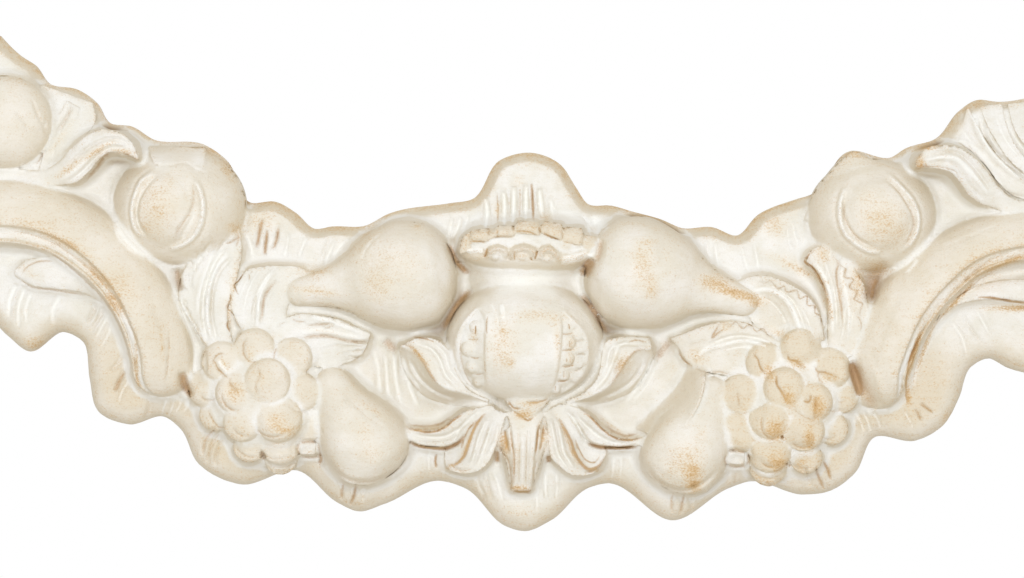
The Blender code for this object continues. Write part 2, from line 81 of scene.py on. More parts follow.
# Gouge cuts: width, depth and how dark a brown is painted in the cut, as dirt and painted shade (or, below 0,
# how thick the white paint is on it), then the places that it runs through. A depth below 0 is a raised line,
# and a depth of 0 only lays paint. Each section adds the cuts on its own piece, and all are carved once the
# forms are joined.
cuts = [
    (3.6, 1.8, 0.75, (-199, 92), (-201, 81), (-203, 69)),
    (3.4, 1.6, 0.8, (-195, 84), (-196, 74), (-197, 64)),
    (3.4, 1.6, 0.7, (-187, 86), (-188, 76), (-191, 68)), (3, 1, -0.4, (-179, 81), (-180, 72), (-182, 63)),
    (3.2, 0.9, -0.4, (-165, 79), (-169, 70), (-171, 63)),
    (3.0, 1.0, 0.25, (-148, 79), (-152, 69), (-155, 55)),
    (3, 0.8, -0.4, (-143, 78), (-148, 68), (-151, 55)), (3, 0.7, -0.4, (-136, 77), (-142, 68), (-145, 60)),
    (4, 1.2, -0.4, (-213, 82), (-208, 73), (-206, 63)), (12.0, 0.0, -0.45, (46, 97), (53, 93), (60, 86)),
    (3.4, 1, -0.4, (-56, 95), (-58, 85), (-61, 78)), (3.2, 1, -0.4, (-50, 96), (-52, 86), (-56, 78)),
    (3, 0.9, -0.4, (-44, 97), (-46, 89), (-49, 81)), (4.6, 2.2, -0.6, (-31, 110), (-30, 98), (-31, 86)),
    (2.0, 0.8, 0.6, (-23, 115), (-22, 103), (-22, 89)), (4.6, 2.2, -0.6, (-10, 119), (-10, 106), (-10, 91)),
    (4.6, 2.2, -0.6, (-1, 121), (-1, 107), (-1, 93)), (4.6, 2.2, -0.6, (-18, 116), (-17, 103), (-17, 88)),
    (2.0, 0.8, 0.5, (-6, 118), (-5, 107), (-6, 93)), (2.6, 1.4, 0.8, (3, 123), (4, 109), (5, 92)),
    (4.6, 2.2, -0.6, (9, 118), (10, 107), (12, 94)), (4.2, 1.2, -0.4, (17, 111), (19, 102), (20, 93)),
    (3, 0.7, -0.4, (43, 98), (46, 89), (48, 81)), (3, 0.7, -0.4, (50, 96), (52, 89), (54, 83)),
    (3.2, 1.0, 0.3, (136, 80), (136, 72), (139, 61)), (3, 0.8, -0.4, (142, 79), (143, 69), (145, 60)),
    (3.2, 0.8, -0.4, (162, 77), (164, 68), (168, 57)), (3.2, 0.9, -0.4, (171, 79), (173, 70), (175, 58)),
    (3, 0.8, -0.4, (196, 93), (197, 83), (200, 74)), (3, 0.7, -0.4, (200, 96), (202, 85), (205, 78)),
    (4.8, 1, -0.5, (-114, -5), (-110, -19), (-109, -40)),
    (4.8, 1, -0.5, (-105, -7), (-104, -22), (-102, -43)), (4.8, 1, -0.5, (-98, -7), (-97, -24), (-93, -46)),
    (4.8, 1, -0.5, (-92, -8), (-88, -26), (-80, -48)), (4.8, 1.2, -0.5, (96, -7), (90, -22), (81, -34)),
    (4.8, 1, -0.5, (100, -11), (91, -29), (81, -42)), (4.8, 1, -0.5, (94, -13), (85, -30), (76, -42)),
    (2.6, 1.2, 0.8, (-65, -82), (-66, -88), (-65, -94)), (3, 0.8, -0.4, (-70, -80), (-71, -89), (-70, -98)),
    (2.8, 0.8, -0.4, (-60, -80), (-60, -89), (-59, -98)),
    (3.4, 1.3, 0.3, (-29, -95), (-26, -105), (-23, -117)),
    (3.4, 1.1, -0.4, (-22, -96), (-18, -106), (-15, -118)),
    (3.2, 0.9, -0.4, (-36, -99), (-32, -108), (-29, -114)),
    (3.4, 1.1, -0.4, (16, -94), (17, -104), (18, -116)), (3.2, 1, -0.4, (25, -95), (26, -105), (25, -116)),
    (2.8, 0.7, -0.4, (10, -110), (11, -118), (11, -126)),
    (3.4, 1.6, 0.6, (-134, -105), (-136, -113), (-136, -119)),
    (3.4, 1.8, 0.7, (-125, -106), (-127, -116), (-130, -123)),
    (3.2, 1.2, 0.3, (-119, -106), (-120, -114), (-121, -120)),
    (3.2, 1.2, 0.5, (113, -108), (112, -116), (113, -125)),
    (3.4, 1.4, 0.6, (121, -109), (120, -118), (119, -126)),
    (3.2, 1.1, 0.3, (127, -109), (127, -117), (127, -125)),
    (2.8, 0.8, -0.4, (67, -80), (68, -90), (67, -101)), (2.8, 0.7, -0.4, (73, -80), (74, -90), (73, -99)),
    (2.8, 0.8, 0.3, (155, -92), (154, -99), (154, -104)),
    (2.8, 0.8, 0.4, (160, -92), (160, -98), (160, -104)),
    (3.4, 1.2, 0.4, (211, -89), (214, -96), (217, -103)),
    (3.4, 1.6, 0.7, (219, -88), (223, -97), (227, -105)),
    (3.2, 1.5, 0.8, (225, -83), (229, -90), (232, -98)),
    (3.6, 1.5, 0.5, (-230, -65), (-239, -75), (-241, -87)),
    (3.6, 1.5, 0.4, (-227, -68), (-235, -80), (-238, -93)),
    (3.4, 1.2, 0.3, (-224, -72), (-230, -83), (-232, -95)),
    (3.2, 1.0, 0.35, (-281, -44), (-283, -53), (-286, -61)),
    (3, 0.8, -0.4, (-268, -44), (-271, -51), (-273, -57)),
    (3, 0.8, -0.4, (-263, -45), (-265, -52), (-268, -58)),
    (3, 0.8, -0.4, (-257, -43), (-259, -50), (-262, -55)),
    (3, 0.8, -0.4, (-251, -44), (-253, -50), (-256, -55)),
    (4.8, 1.4, -0.5, (-383, 40), (-388, 28), (-389, 14)),
    (4.8, 1.3, -0.5, (-376, 38), (-381, 24), (-381, 7)), (4.8, 1, -0.5, (-371, 35), (-376, 23), (-376, 10)),
    (4.8, 1, -0.5, (-349, 33), (-355, 22), (-356, 10)),
    (4.4, 1.6, 0.35, (-323, 26), (-325, 19), (-329, 11)),
    (4.4, 1.8, 0.3, (-317, 24), (-321, 15), (-327, 6)), (4, 1.5, -0.4, (-312, 19), (-318, 10), (-323, 0)),
    (3.6, 0.9, -0.4, (-311, 10), (-315, 0), (-319, -7)),
    (4.4, 1.4, 0.3, (-302, -13), (-306, -19), (-311, -24)),
    (4.0, 1.8, 0.65, (-300, -24), (-305, -33), (-308, -40)),
    (3.6, 1, -0.4, (-297, -31), (-302, -39), (-305, -48)), (3.4, 1.0, 0.3, (329, 27), (336, 16), (345, 5)),
    (3.4, 0.9, -0.4, (320, 23), (328, 12), (333, -5)), (3, 0.7, -0.4, (339, 32), (345, 21), (351, 11)),
    (3.0, 1.2, 0.6, (294, -43), (297, -48), (299, -53)),
    (3.0, 1.3, 0.7, (298, -39), (303, -43), (308, -46)), (3, 0.8, -0.4, (286, -45), (290, -52), (293, -58)),
    (3.4, 0.9, -0.4, (247, -45), (253, -53), (256, -62)),
    (3.4, 0.9, -0.4, (255, -46), (259, -54), (261, -61)),
    (3.2, 0.8, -0.4, (262, -46), (266, -52), (269, -58))]


def spline(knots, count):
    """Points along a smooth curve through the knots, which may have any number of columns."""
    knots = np.array(knots, float)
    reach = np.linalg.norm(np.diff(knots[:, :2], axis=0), axis=1)
    place = np.concatenate(([0.0], np.cumsum(reach)))
    slope = np.gradient(knots, place, axis=0)
    along = np.linspace(0, place[-1], count)
    i = np.clip(np.searchsorted(place, along, side="right") - 1, 0, len(reach) - 1)
    h = reach[i][:, None]
    t = (along[:, None] - place[i][:, None]) / h
    start = (1 + 2 * t) * (1 - t) ** 2 * knots[i] + t * (1 - t) ** 2 * h * slope[i]
    end = t * t * (3 - 2 * t) * knots[i + 1] + t * t * (t - 1) * h * slope[i + 1]
    return start + end


def step_up(value, low, high):
    """0 below the low value, 1 above the high one, and a smooth step between them."""
    t = np.clip((value - low) / (high - low), 0, 1)
    return t * t * (3 - 2 * t)


def bump(value, middle, width):
    """A smooth rounded hump, 1 at its middle."""
    return np.exp(-((value - middle) / width) ** 2)


def course(line):
    """Which way a line runs at each of its points, in x and z."""
    way = np.gradient(line[:, :2], axis=0)
    return way / np.linalg.norm(way, axis=1)[:, None]


def at(share, line):
    """The columns of a line's points, read at shares of the way along it."""
    return [np.interp(share, np.linspace(0, 1, len(line)), column) for column in line.T]


def reshape(piece, formula):
    """Move each corner of a mesh, in the primitive's own units, to the x, z and rise of a formula, in mm."""
    corners = np.empty(len(piece.data.vertices) * 3)
    piece.data.vertices.foreach_get("co", corners)
    x, z, rise = formula(*corners.reshape(-1, 3).T)
    corners = np.stack((x, -(FACE + rise), z), axis=-1) * MM
    piece.data.vertices.foreach_set("co", corners.ravel())
    piece.data.update()
    forms.append(piece)
    return piece


def aged(amount):
    """Give the forms made since the last call this much age."""
    ages.extend([amount] * (len(forms) - len(ages)))


def slab(across, along):
    """A closed slab two units square and one thick, with its front at 1, ready to be bent to shape."""
    bpy.ops.object.select_all(action="DESELECT")
    bpy.ops.mesh.primitive_grid_add(x_subdivisions=across, y_subdivisions=along, size=2)
    bpy.ops.object.mode_set(mode="EDIT")
    bpy.ops.mesh.select_all(action="SELECT")
    bpy.ops.mesh.extrude_region_move(TRANSFORM_OT_translate={"value": (0, 0, 1)})
    bpy.ops.object.mode_set(mode="OBJECT")
    return bpy.context.object


def distance_to(curve, x, z):
    """How far places are from a curve."""
    tree = kdtree.KDTree(len(curve))
    for i, (curve_x, curve_z) in enumerate(curve):
        tree.insert((curve_x, curve_z, 0), i)
    tree.balance()
    return np.array([tree.find((a, b, 0))[2] for a, b in zip(x, z)])


def board_shape(u, v, w):
    """The slab bent to the board's outline, with its top edge sloped and its bottom edge rounded."""
    x = u * (HALF_LENGTH + OVERRUN)
    top_curve = spline(TOP_EDGE, EDGE_STEPS)
    bottom_curve = spline(BOTTOM_EDGE, EDGE_STEPS)
    top = np.interp(x, *top_curve.T)
    bottom = np.interp(x, *bottom_curve.T)
    z = bottom + (top - bottom) * (v + 1) / 2
    front = w > 0.5
    rise = np.full_like(x, -(FACE + OVERRUN))
    face_x, face_z = x[front], z[front]
    from_top = distance_to(top_curve, face_x, face_z)
    from_bottom = distance_to(bottom_curve, face_x, face_z)
    slope = CHAMFER_DROP * np.clip(1 - from_top / CHAMFER_WIDTH, 0, 1) ** CHAMFER_DISH
    over = np.clip(1 - from_bottom / ROLL_WIDTH, 0, 1)
    roll = ROLL_DROP * (1 - np.sqrt(1 - over ** 2))
    rise[front] = -np.maximum(slope, roll)
    return x, z, rise


reshape(slab(*BOARD_STEPS), board_shape)
aged(0.0)

# THE SCROLLS
# Two great horn-shaped scrolls, one from each end, carved in the same plank. Each has a rounded back,
# a sharp ridge, and below the ridge a sunk channel with a thin bead along the inner edge.

# Each as its midline: x, z, rise and half width
LEFT_SCROLL = (
    (-416, 93, 32, 25.5), (-378, 93, 34, 25.5), (-351, 86, 36, 25), (-324, 71, 37, 25),
    (-300, 48, 37, 24), (-282, 20, 36, 24), (-272, -9, 32, 24), (-271, -43, 22, 22))
RIGHT_SCROLL = (
    (416, 87, 32, 20), (359, 86, 34, 20), (332, 77, 36, 21), (307, 59, 37, 22.5),
    (284, 34, 37, 24), (270, 6, 36, 24), (264, -19, 33, 22.5), (272, -43, 24, 18))
# The scroll's section as a share of its rise: over its back from the outer edge (0) to the ridge (1),
# and on from the ridge to the inner edge (2)
BACK_SECTION = (
    (0, 0.06), (0.04, 0.36), (0.12, 0.55), (0.30, 0.74), (0.52, 0.87), (0.75, 0.96), (0.93, 1.0),
    (1, 0.99), (1.06, 0.88), (1.14, 0.70), (1.34, 0.62), (1.54, 0.60), (1.60, 0.62), (1.68, 0.76),
    (1.78, 0.80), (1.88, 0.72), (1.95, 0.40), (2, 0.06))


def scroll(midline, outer_side):
    """A scroll whose outer edge is on the left (1) or on the right (-1) of its midline."""
    line = spline(midline, 240)
    way = course(line)
    places, shares = np.array(BACK_SECTION).T

    def bent(u, v, w):
        along, inward = (v + 1) / 2, -u * outer_side
        x, z, rise, half = at(along, line)
        way_x, way_z = at(along, way)
        # The ridge runs nearer and nearer to the inner edge
        ridge = 0.40 + 0.24 * step_up(along, 0.25, 0.9)
        before = (inward + 1) / (ridge + 1)
        beyond = 1 + (inward - ridge) / (1 - ridge)
        height = np.interp(np.where(inward < ridge, before, beyond), places, shares)
        # Near the tip the back is planed flat on top, with a low step down to its outer slope
        flat = 0.05 * step_up(along, 0.6, 0.8) * step_up(before, 0.50, 0.56)
        # The last part of the length is rounded off to the tip
        end = np.sqrt(np.clip(1 - (np.maximum(along - 0.92, 0) / 0.08) ** 2, 0.02, 1))
        height = (height + flat * (inward < ridge)) * end ** 0.6
        reach = u * end * half
        return x - way_z * reach, z + way_x * reach, np.where(w > 0.5, rise * height, -SINK)
    return reshape(slab(90, 220), bent)


scroll(LEFT_SCROLL, 1)
scroll(RIGHT_SCROLL, -1)
aged(0.45)
cuts += [
    (2.6, 1.0, 0.45, (-393, 81), (-371, 77), (-352, 70), (-333, 57), (-314, 39), (-299, 18), (-289, -4),
     (-285, -30)),
    (2.2, 0.8, 0.50, (-393, 73), (-370, 70), (-352, 61), (-333, 46), (-316, 29), (-303, 8), (-297, -10),
     (-294, -33)),
    (2.0, 0.5, 0.35, (-293, 14), (-288, -4), (-285, -19), (-284, -38)),
    (1.8, 0.8, 0.45, (-266, 7), (-266, -8), (-267, -21), (-268, -32)),
    (2.6, 1.0, 0.45, (371, 79), (346, 68), (324, 49), (305, 27), (292, 5), (287, -15), (288, -35)),
    (2.2, 0.8, 0.50, (371, 68), (347, 59), (327, 43), (311, 24), (299, 4), (293, -15), (293, -36)),
    (2.6, 0.9, 0.95, (294, 10), (288, -5), (286, -22), (289, -38), (293, -42)),
    (1.6, 0.3, 0.30, (301, 74), (319, 81), (342, 91), (360, 98)),
    (2.0, 0.6, 0.35, (299, 79), (304, 83), (307, 86)),
    (3.0, -0.9, -0.7, (-308, 87), (-302, 77), (-293, 68), (-284, 61)),
    (2.6, -0.7, -0.6, (293, 70), (289, 64), (283, 58))]
worn += [
    (-345, 71, 30, 4, -25, 0.6), (-318, 46, 22, 5, -42, 0.7), (-306, 27, 12, 6, -55, 0.75),
    (-300, 40, 26, 14, -50, 0.40), (-365, 82, 36, 12, -18, 0.35), (-290, -20, 26, 1.6, -88, 0.7),
    (-271, -5, 20, 1.8, -88, 0.5), (-290, -48, 6, 2, 0, 0.6), (-272, 10, 12, 8, 60, 0.25),
    (356, 66, 34, 3, 25, 0.7), (324, 40, 26, 3, 48, 0.8), (301, 4, 30, 2.2, 72, 0.7),
    (291, -2, 26, 2.2, 78, 0.9), (289, -34, 12, 2.4, 95, 0.95), (338, 62, 40, 16, 30, 0.42),
    (300, 34, 26, 12, 58, 0.38), (378, 78, 20, 6, 10, 0.45)]

# THE ACANTHUS
# Curled leaves of acanthus that come out over the scrolls, and the flat leaves behind and below them.
# The curls stand clear over a deep hollow.

# Each leaf as its two edges (x, z, rise) from the root to the tip, and how much it is dished between
# them (or rounded, below 0)
ACANTHUS = (
    (((-407, 129, 8), (-381, 126, 10), (-362, 126, 14), (-351, 132, 20), (-342, 141, 27), (-330, 151, 34),
      (-319, 156, 39), (-308, 155, 42), (-299, 151, 42), (-293, 144, 41), (-290, 135, 37)),
     ((-406, 114, 8), (-381, 115, 10), (-361, 114, 14), (-348, 114, 18), (-336, 117, 24), (-327, 125, 30),
      (-320, 133, 36), (-313, 138, 39), (-305, 138, 40), (-298, 137, 40), (-291, 134, 37)), -3),
    (((386, 113, 12), (365, 115, 15), (355, 122, 20), (346, 132, 26), (338, 141, 32), (329, 148, 37),
      (319, 153, 40), (308, 154, 42), (297, 152, 42), (291, 146, 40), (288, 140, 37)),
     ((386, 98, 12), (366, 102, 13), (352, 107, 16), (340, 111, 20), (329, 118, 26), (322, 127, 32),
      (316, 133, 37), (307, 136, 40), (298, 137, 41), (293, 137, 40), (289, 137, 37)), -3),
    (((-367, 190, 3), (-363, 171, 6), (-359, 156, 9), (-363, 141, 11), (-367, 124, 12)),
     ((-328, 177, 2), (-325, 165, 5), (-329, 155, 10), (-339, 144, 13), (-349, 124, 14)), 2.5),
    (((-347, 178, 6), (-352, 167, 8), (-356, 157, 9), (-360, 147, 11), (-366, 128, 12)),
     ((-337, 173, 5), (-340, 162, 8), (-345, 151, 10), (-351, 141, 12), (-357, 127, 13)), 1.0),
    (((323, 158, 3), (333, 150, 8), (343, 140, 12), (352, 128, 14), (362, 119, 14), (384, 113, 14)),
     ((330, 185, 2), (337, 170, 8), (346, 156, 13), (356, 143, 16), (369, 131, 17), (385, 122, 17)), 2.5),
    (((339, 185, 2), (344, 171, 8), (351, 158, 13), (359, 146, 16), (371, 135, 17), (385, 127, 17)),
     ((356, 187, 2), (358, 174, 8), (362, 161, 13), (370, 149, 16), (379, 140, 16), (387, 136, 16)), 3.0),
    (((360, 187, 2), (362, 176, 8), (366, 164, 13), (374, 154, 15), (386, 146, 15)),
     ((384, 190, 2), (384, 181, 8), (385, 172, 12), (386, 164, 14), (388, 160, 14)), 3.0),
    (((-384, 50, 8), (-376, 57, 10), (-365, 60, 12), (-351, 59, 13), (-336, 51, 12), (-322, 38, 10),
      (-315, 29, 8)),
     ((-384, 46, 6), (-374, 40, 9), (-361, 37, 11), (-345, 36, 12), (-332, 34, 11), (-322, 29, 9),
      (-313, 24, 8)), -2),
    (((308, 22, 8), (322, 34, 12), (334, 38, 14), (348, 40, 15), (363, 39, 15), (387, 38, 15)),
     ((312, 30, 10), (325, 42, 12), (339, 50, 12), (355, 54, 12), (370, 55, 12), (387, 56, 12)), -2))
EDGE_BAND, EDGE_DROP = 3.0, 1.2        # how wide a leaf's edge is rounded over, and how far down
LEAF_FACET = 0.9     # how far apart a leaf's corners are


def leaf(first, second, dish, swell=0.0):
    """A leaf between its two edges. swell rounds its end out past the straight line between the tips."""
    edges = [spline(edge, 200) for edge in (first, second)]
    middle = (edges[0] + edges[1]) / 2
    way = course(middle)
    size = max(np.linalg.norm(edges[0][:, :2] - edges[1][:, :2], axis=1))
    length = np.sum(np.linalg.norm(np.diff(middle[:, :2], axis=0), axis=1))

    def bent(u, v, w):
        share, across = (v + 1) / 2, 0.5 + u / 2
        one, two = (at(share, edge) for edge in edges)
        x, z, rise = (a + (b - a) * across for a, b in zip(one, two))
        out = swell * (1 - u ** 2) * share ** 3
        way_x, way_z = at(share, way)
        x, z = x + out * way_x, z + out * way_z
        width = np.hypot(one[0] - two[0], one[1] - two[1])
        hollow = dish * (1 - u ** 2) * np.clip(width / size, 0, 1)
        over = step_up(np.abs(u), 1 - EDGE_BAND / np.maximum(width, 4), 1)
        rounding = EDGE_DROP * over * np.minimum(width / 8, 1)
        return x, z, np.where(w > 0.5, rise - hollow - rounding, -SINK)
    return reshape(slab(max(10, int(size / LEAF_FACET)), max(20, int(length / LEAF_FACET))), bent)


for acanthus_leaf in ACANTHUS:
    leaf(*acanthus_leaf)
aged(0.1)
cuts += [
    (3.0, 1.3, 0.25, (-347, 125), (-337, 135), (-325, 144), (-313, 149), (-303, 148), (-295, 141)),
    (3.4, 1.2, -0.4, (-344, 116), (-332, 125), (-322, 135), (-312, 142), (-301, 142), (-294, 138)),
    (2.0, 0.6, 0.75, (-332, 118), (-324, 126), (-317, 135), (-310, 140)),
    (1.6, 0.6, 0.6, (-304, 139), (-297, 137), (-290, 133)),
    (3.0, -0.7, -0.6, (-350, 118), (-335, 128), (-324, 138), (-312, 145), (-300, 145)),
    (3.6, 1.4, 0.25, (297, 145), (309, 149), (320, 148), (329, 142), (337, 133), (346, 121)),
    (2.6, 1.2, 0.30, (297, 140), (308, 142), (318, 139), (325, 132), (332, 123), (341, 114)),
    (3.0, -0.8, -0.6, (295, 142), (308, 145), (319, 144), (327, 137), (336, 128), (345, 117)),
    (1.6, 0.6, 0.55, (291, 137), (300, 138), (310, 137), (319, 134), (322, 128)),
    (4.2, 1.6, 0.35, (316, 157), (327, 155), (336, 149), (345, 138), (352, 127), (361, 119), (375, 116))]
cuts += [
    (3.0, 1.4, 0.40, (-342, 176), (-346, 167), (-350, 159), (-353, 153)),
    (2.4, 0.9, 0.2, (-360, 165), (-362, 157), (-358, 148)),
    (2.0, 0.6, 0.15, (-352, 150), (-355, 141), (-357, 133)),
    (3.6, 1.8, 0.30, (340, 176), (342, 164), (348, 154), (357, 144), (366, 137), (377, 129)),
    (3.4, -1.0, -0.6, (333, 180), (337, 167), (343, 155), (352, 144), (363, 135), (377, 127)),
    (3, 1, -0.4, (359, 177), (362, 167), (368, 157), (376, 149)),
    (2.8, 0.9, -0.4, (326, 168), (333, 157), (342, 147), (352, 136)),
    (2.6, 0.8, -0.4, (350, 180), (354, 168), (361, 155), (370, 145)),
    (2.2, 0.7, 0.60, (-379, 46), (-375, 52), (-365, 57), (-353, 57)),
    (2.4, 0.9, 0.55, (-381, 44), (-372, 38), (-357, 36), (-342, 34), (-328, 32)),
    (2.4, 0.8, 0.95, (337, 41), (349, 41), (361, 39), (378, 37)),
    (2.0, 0.5, 0.25, (309, 26), (322, 36), (334, 42), (344, 47))]
worn += [
    (-341, 128, 16, 3, 35, 0.6), (-322, 139, 14, 3, 30, 0.6), (-300, 140, 8, 2, -10, 0.5),
    (-372, 48, 9, 3, -30, 0.4), (-352, 148, 14, 1.6, 55, 0.3), (292, 140, 3, 6, 0, 0.7),
    (296, 152, 10, 2, 10, 0.6), (376, 34, 30, 2.5, 2, 0.95), (330, 184, 10, 4, 20, 0.5),
    (-385, 187, 10, 10, -40, 0.3)]

# THE PEACHES
# A fruit in each upper corner, whose husk has split: the husk's edge stands up as a thin rim on both
# sides, and the fruit swells between them. A third fruit is cut off by the left end.

# Each fruit's x, z and rise, half width, half height and half depth
PEACHES = ((-261, 100, 4, 50, 45, 44), (259, 101, 4, 48, 43, 44))
END_FRUIT = (-394, 161, 10, 37, 35, 26)
PEACH_EASE = 1.3     # 1 is a ball, and more than 1 gives it gentler sides
# The husk above the peaches: planed flat on the left, drawn out to a rounded point on the right
FLAT_HUSK = (
    ((-284, 144, 8), (-283, 138, 22), (-279, 131, 32)), ((-242, 145, 10), (-241, 136, 24), (-242, 127, 34)),
    -2)
POINTED_HUSK = (
    ((207, 96, 2), (215, 114, 9), (224, 130, 13), (234, 142, 13), (243, 149, 12)),
    ((286, 116, 4), (281, 133, 10), (270, 140, 13), (256, 144, 14), (247, 149, 12)), -17)
# Where each fruit swells out between the rims: x and z of the middle, half width, half height, slant
SWELLINGS = (((-271, 97), 22, 28, 4), ((262, 102), 25, 28, 14))
SWELLING_DEPTH = 1.6


def globe(steps):
    """A closed ball one unit in radius, ready to be shaped: each step halves the size of its facets."""
    bpy.ops.object.select_all(action="DESELECT")
    bpy.ops.mesh.primitive_ico_sphere_add(subdivisions=steps, radius=1)
    return bpy.context.object


def straight_behind(a, b, c, half_depth, rise):
    """A ball one unit in radius, half_depth deep in front, and drawn out straight into the board behind."""
    behind = b > 0
    radius = np.where(behind, np.maximum(np.hypot(a, c), 0.35), 1)
    return a / radius, c / radius, np.where(behind, -b * (rise + SINK), -b * half_depth)


def fruit(x, z, rise, half_width, half_height, half_depth, relief=None, steps=5, ease=1.0):
    """A rounded fruit. relief(x, z) is what is carved in its front, as a depth; ease above 1 gives it a
    gentler slope at its sides."""
    def rounded(a, b, c):
        a, c, out = straight_behind(a, b, c, half_depth, rise)
        out = np.where(b < 0, half_depth * np.abs(b) ** ease, out)
        at_x, at_z = x + a * half_width, z + c * half_height
        if relief is not None:
            out = out - relief(at_x, at_z) * step_up(-b, 0.0, 0.3)
        return at_x, at_z, rise + out
    return reshape(globe(steps), rounded)


def swelling(middle, half_width, half_height, slant):
    """A soft swelling with a low step around it, as a carved depth."""
    turn = math.radians(slant)

    def relief(x, z):
        a = (x - middle[0]) * math.cos(turn) + (z - middle[1]) * math.sin(turn)
        b = (z - middle[1]) * math.cos(turn) - (x - middle[0]) * math.sin(turn)
        share = np.hypot(a / half_width, b / half_height)
        return SWELLING_DEPTH * bump(share, 1.02, 0.14) - SWELLING_DEPTH * np.clip(1 - share ** 2, 0, 1)
    return relief


for peach, middle_swelling in zip(PEACHES, SWELLINGS):
    fruit(*peach, swelling(*middle_swelling), 7, PEACH_EASE)
fruit(*END_FRUIT, steps=6)
aged(0.36)
leaf(*POINTED_HUSK)
aged(0.4)
leaf(*FLAT_HUSK)
aged(0.1)
cuts += [
    (4.0, -2.2, -0.6, (-279, 125), (-288, 118), (-293, 107), (-295, 95), (-293, 84), (-288, 76)),
    (3.2, 1.6, -0.4, (-276, 122), (-283, 115), (-289, 105), (-291, 95), (-289, 84), (-283, 77)),
    (4.2, -2.2, -0.7, (-247, 119), (-243, 110), (-241, 98), (-243, 86), (-249, 76), (-258, 70), (-267, 67)),
    (2.6, 1.3, 0.45, (-250, 118), (-248, 107), (-250, 97), (-255, 88), (-260, 81), (-262, 70)),
    (4.5, 0.8, -0.4, (-246, 101), (-250, 89), (-255, 80), (-258, 74)),
    (2.4, 0.8, 0.15, (-279, 131), (-266, 130), (-255, 132), (-247, 127), (-239, 125)),
    (2.4, -0.7, -0.5, (-310, 87), (-304, 75), (-295, 66), (-286, 61)),
    (2.6, 0.8, 0.3, (-280, 62), (-269, 57), (-256, 57), (-246, 62)),
    (4.0, -2.2, -0.6, (236, 121), (233, 110), (233, 98), (237, 87), (246, 79), (255, 74), (264, 73)),
    (2.2, 1.2, 0.50, (236, 112), (236, 102), (241, 90), (249, 82), (258, 78)),
    (4.0, -2.2, -0.6, (269, 132), (279, 122), (288, 111), (292, 99), (290, 86), (284, 76)),
    (2.2, 1.2, 0.50, (267, 128), (276, 119), (283, 109), (288, 98), (286, 86), (281, 77))]
cuts += [
    (2.4, 1.0, 0.30, (-371, 178), (-367, 167), (-362, 158)),
    (2.4, 0.9, 0.25, (-383, 168), (-377, 161), (-374, 153)),
    (2.6, 1.0, 0.50, (-362, 140), (-366, 134), (-369, 129)),
    (2.4, 0.7, 0.30, (-392, 126), (-381, 127), (-371, 129))]
worn += [
    (-276, 98, 18, 26, 0, 0.45), (-282, 86, 9, 12, 0, 0.4), (-268, 118, 10, 8, 0, 0.35),
    (-236, 143, 6, 4, 0, 1.0), (-226, 128, 4, 12, 30, 0.4), (264, 96, 24, 26, 0, 0.45),
    (276, 88, 12, 11, 0, 0.5), (254, 112, 9, 9, 0, 0.4), (243, 148, 7, 3, 0, 0.6), (262, 62, 14, 8, 0, 0.5)]

# THE PEARS
# Four pears: two lie out to the sides from the pomegranate, two hang at the bottom. Each is fully
# rounded at the belly, and its neck tapers to a blunt end.

# The butt end, points along the axis and the tip (x, z, rise), and the radius of the belly
UPPER_PEARS = (
    (((-52, 56, 16), (-118, 46, 17), (-180, 35, 14)), 41),
    (((44, 63, 18), (108, 50, 18), (174, 32, 14)), 42))
LOWER_PEARS = (
    (((-100, -100, 10), (-127, -62, 13), (-150, -20, 14)), 32),
    (((107, -106, 10), (128, -64, 13), (146, -22, 14)), 32))
# The flat flank beside the neck of each lower pear, from its crest out to the board, rounded a little
FLANKS = (
    (((-139, -31, 28), (-134, -43, 36), (-125, -54, 40), (-111, -65, 41), (-99, -72, 38)),
     ((-133, -21, 5), (-120, -33, 4), (-107, -42, 3), (-92, -50, 1), (-83, -61, -2)), -3),
    (((135, -18, 28), (134, -31, 33), (129, -45, 38), (121, -57, 41), (110, -69, 42)),
     ((123, -12, 4), (115, -28, 3), (104, -40, 2), (92, -50, 0), (81, -61, -2)), -3))
# Radius as a share of the belly's, at places from the butt end to the tip
UPPER_OUTLINE = (
    (0, 0.02), (0.02, 0.38), (0.08, 0.70), (0.18, 0.93), (0.30, 1.0), (0.43, 0.91), (0.55, 0.72),
    (0.65, 0.49), (0.75, 0.36), (0.86, 0.29), (0.94, 0.24), (0.98, 0.15), (1, 0.02))
LOWER_OUTLINE = (
    (0, 0.02), (0.02, 0.38), (0.08, 0.70), (0.18, 0.93), (0.30, 1.0), (0.45, 0.95), (0.58, 0.80),
    (0.70, 0.62), (0.82, 0.48), (0.92, 0.37), (0.98, 0.20), (1, 0.02))


def pear(outline, axis, belly):
    """A pear turned round its axis, slightly uneven as cut by hand, and standing on straight sides."""
    line = spline(axis, 120)
    way = course(line)
    profile = spline(outline, 200)
    places = np.maximum.accumulate(profile[:, 0])

    def round_axis(a, b, c):
        share = np.arccos(np.clip(c, -1, 1)) / math.pi
        turn = np.arctan2(-b, a)
        radius = np.interp(share, places, np.maximum(profile[:, 1], 0.02)) * belly
        radius = radius * (1 + 0.012 * np.sin(5 * turn + 7 * share) + 0.010 * np.sin(3 * turn - 11 * share))
        x, z, rise = at(share, line)
        way_x, way_z = at(share, way)
        behind = np.sin(turn) < 0
        across = radius * np.where(behind, np.tanh(6 * np.cos(turn)), np.cos(turn))
        out = np.sin(turn) * np.where(behind, rise + SINK, radius)
        return x + way_z * across, z - way_x * across, rise + out
    return reshape(globe(6), round_axis)


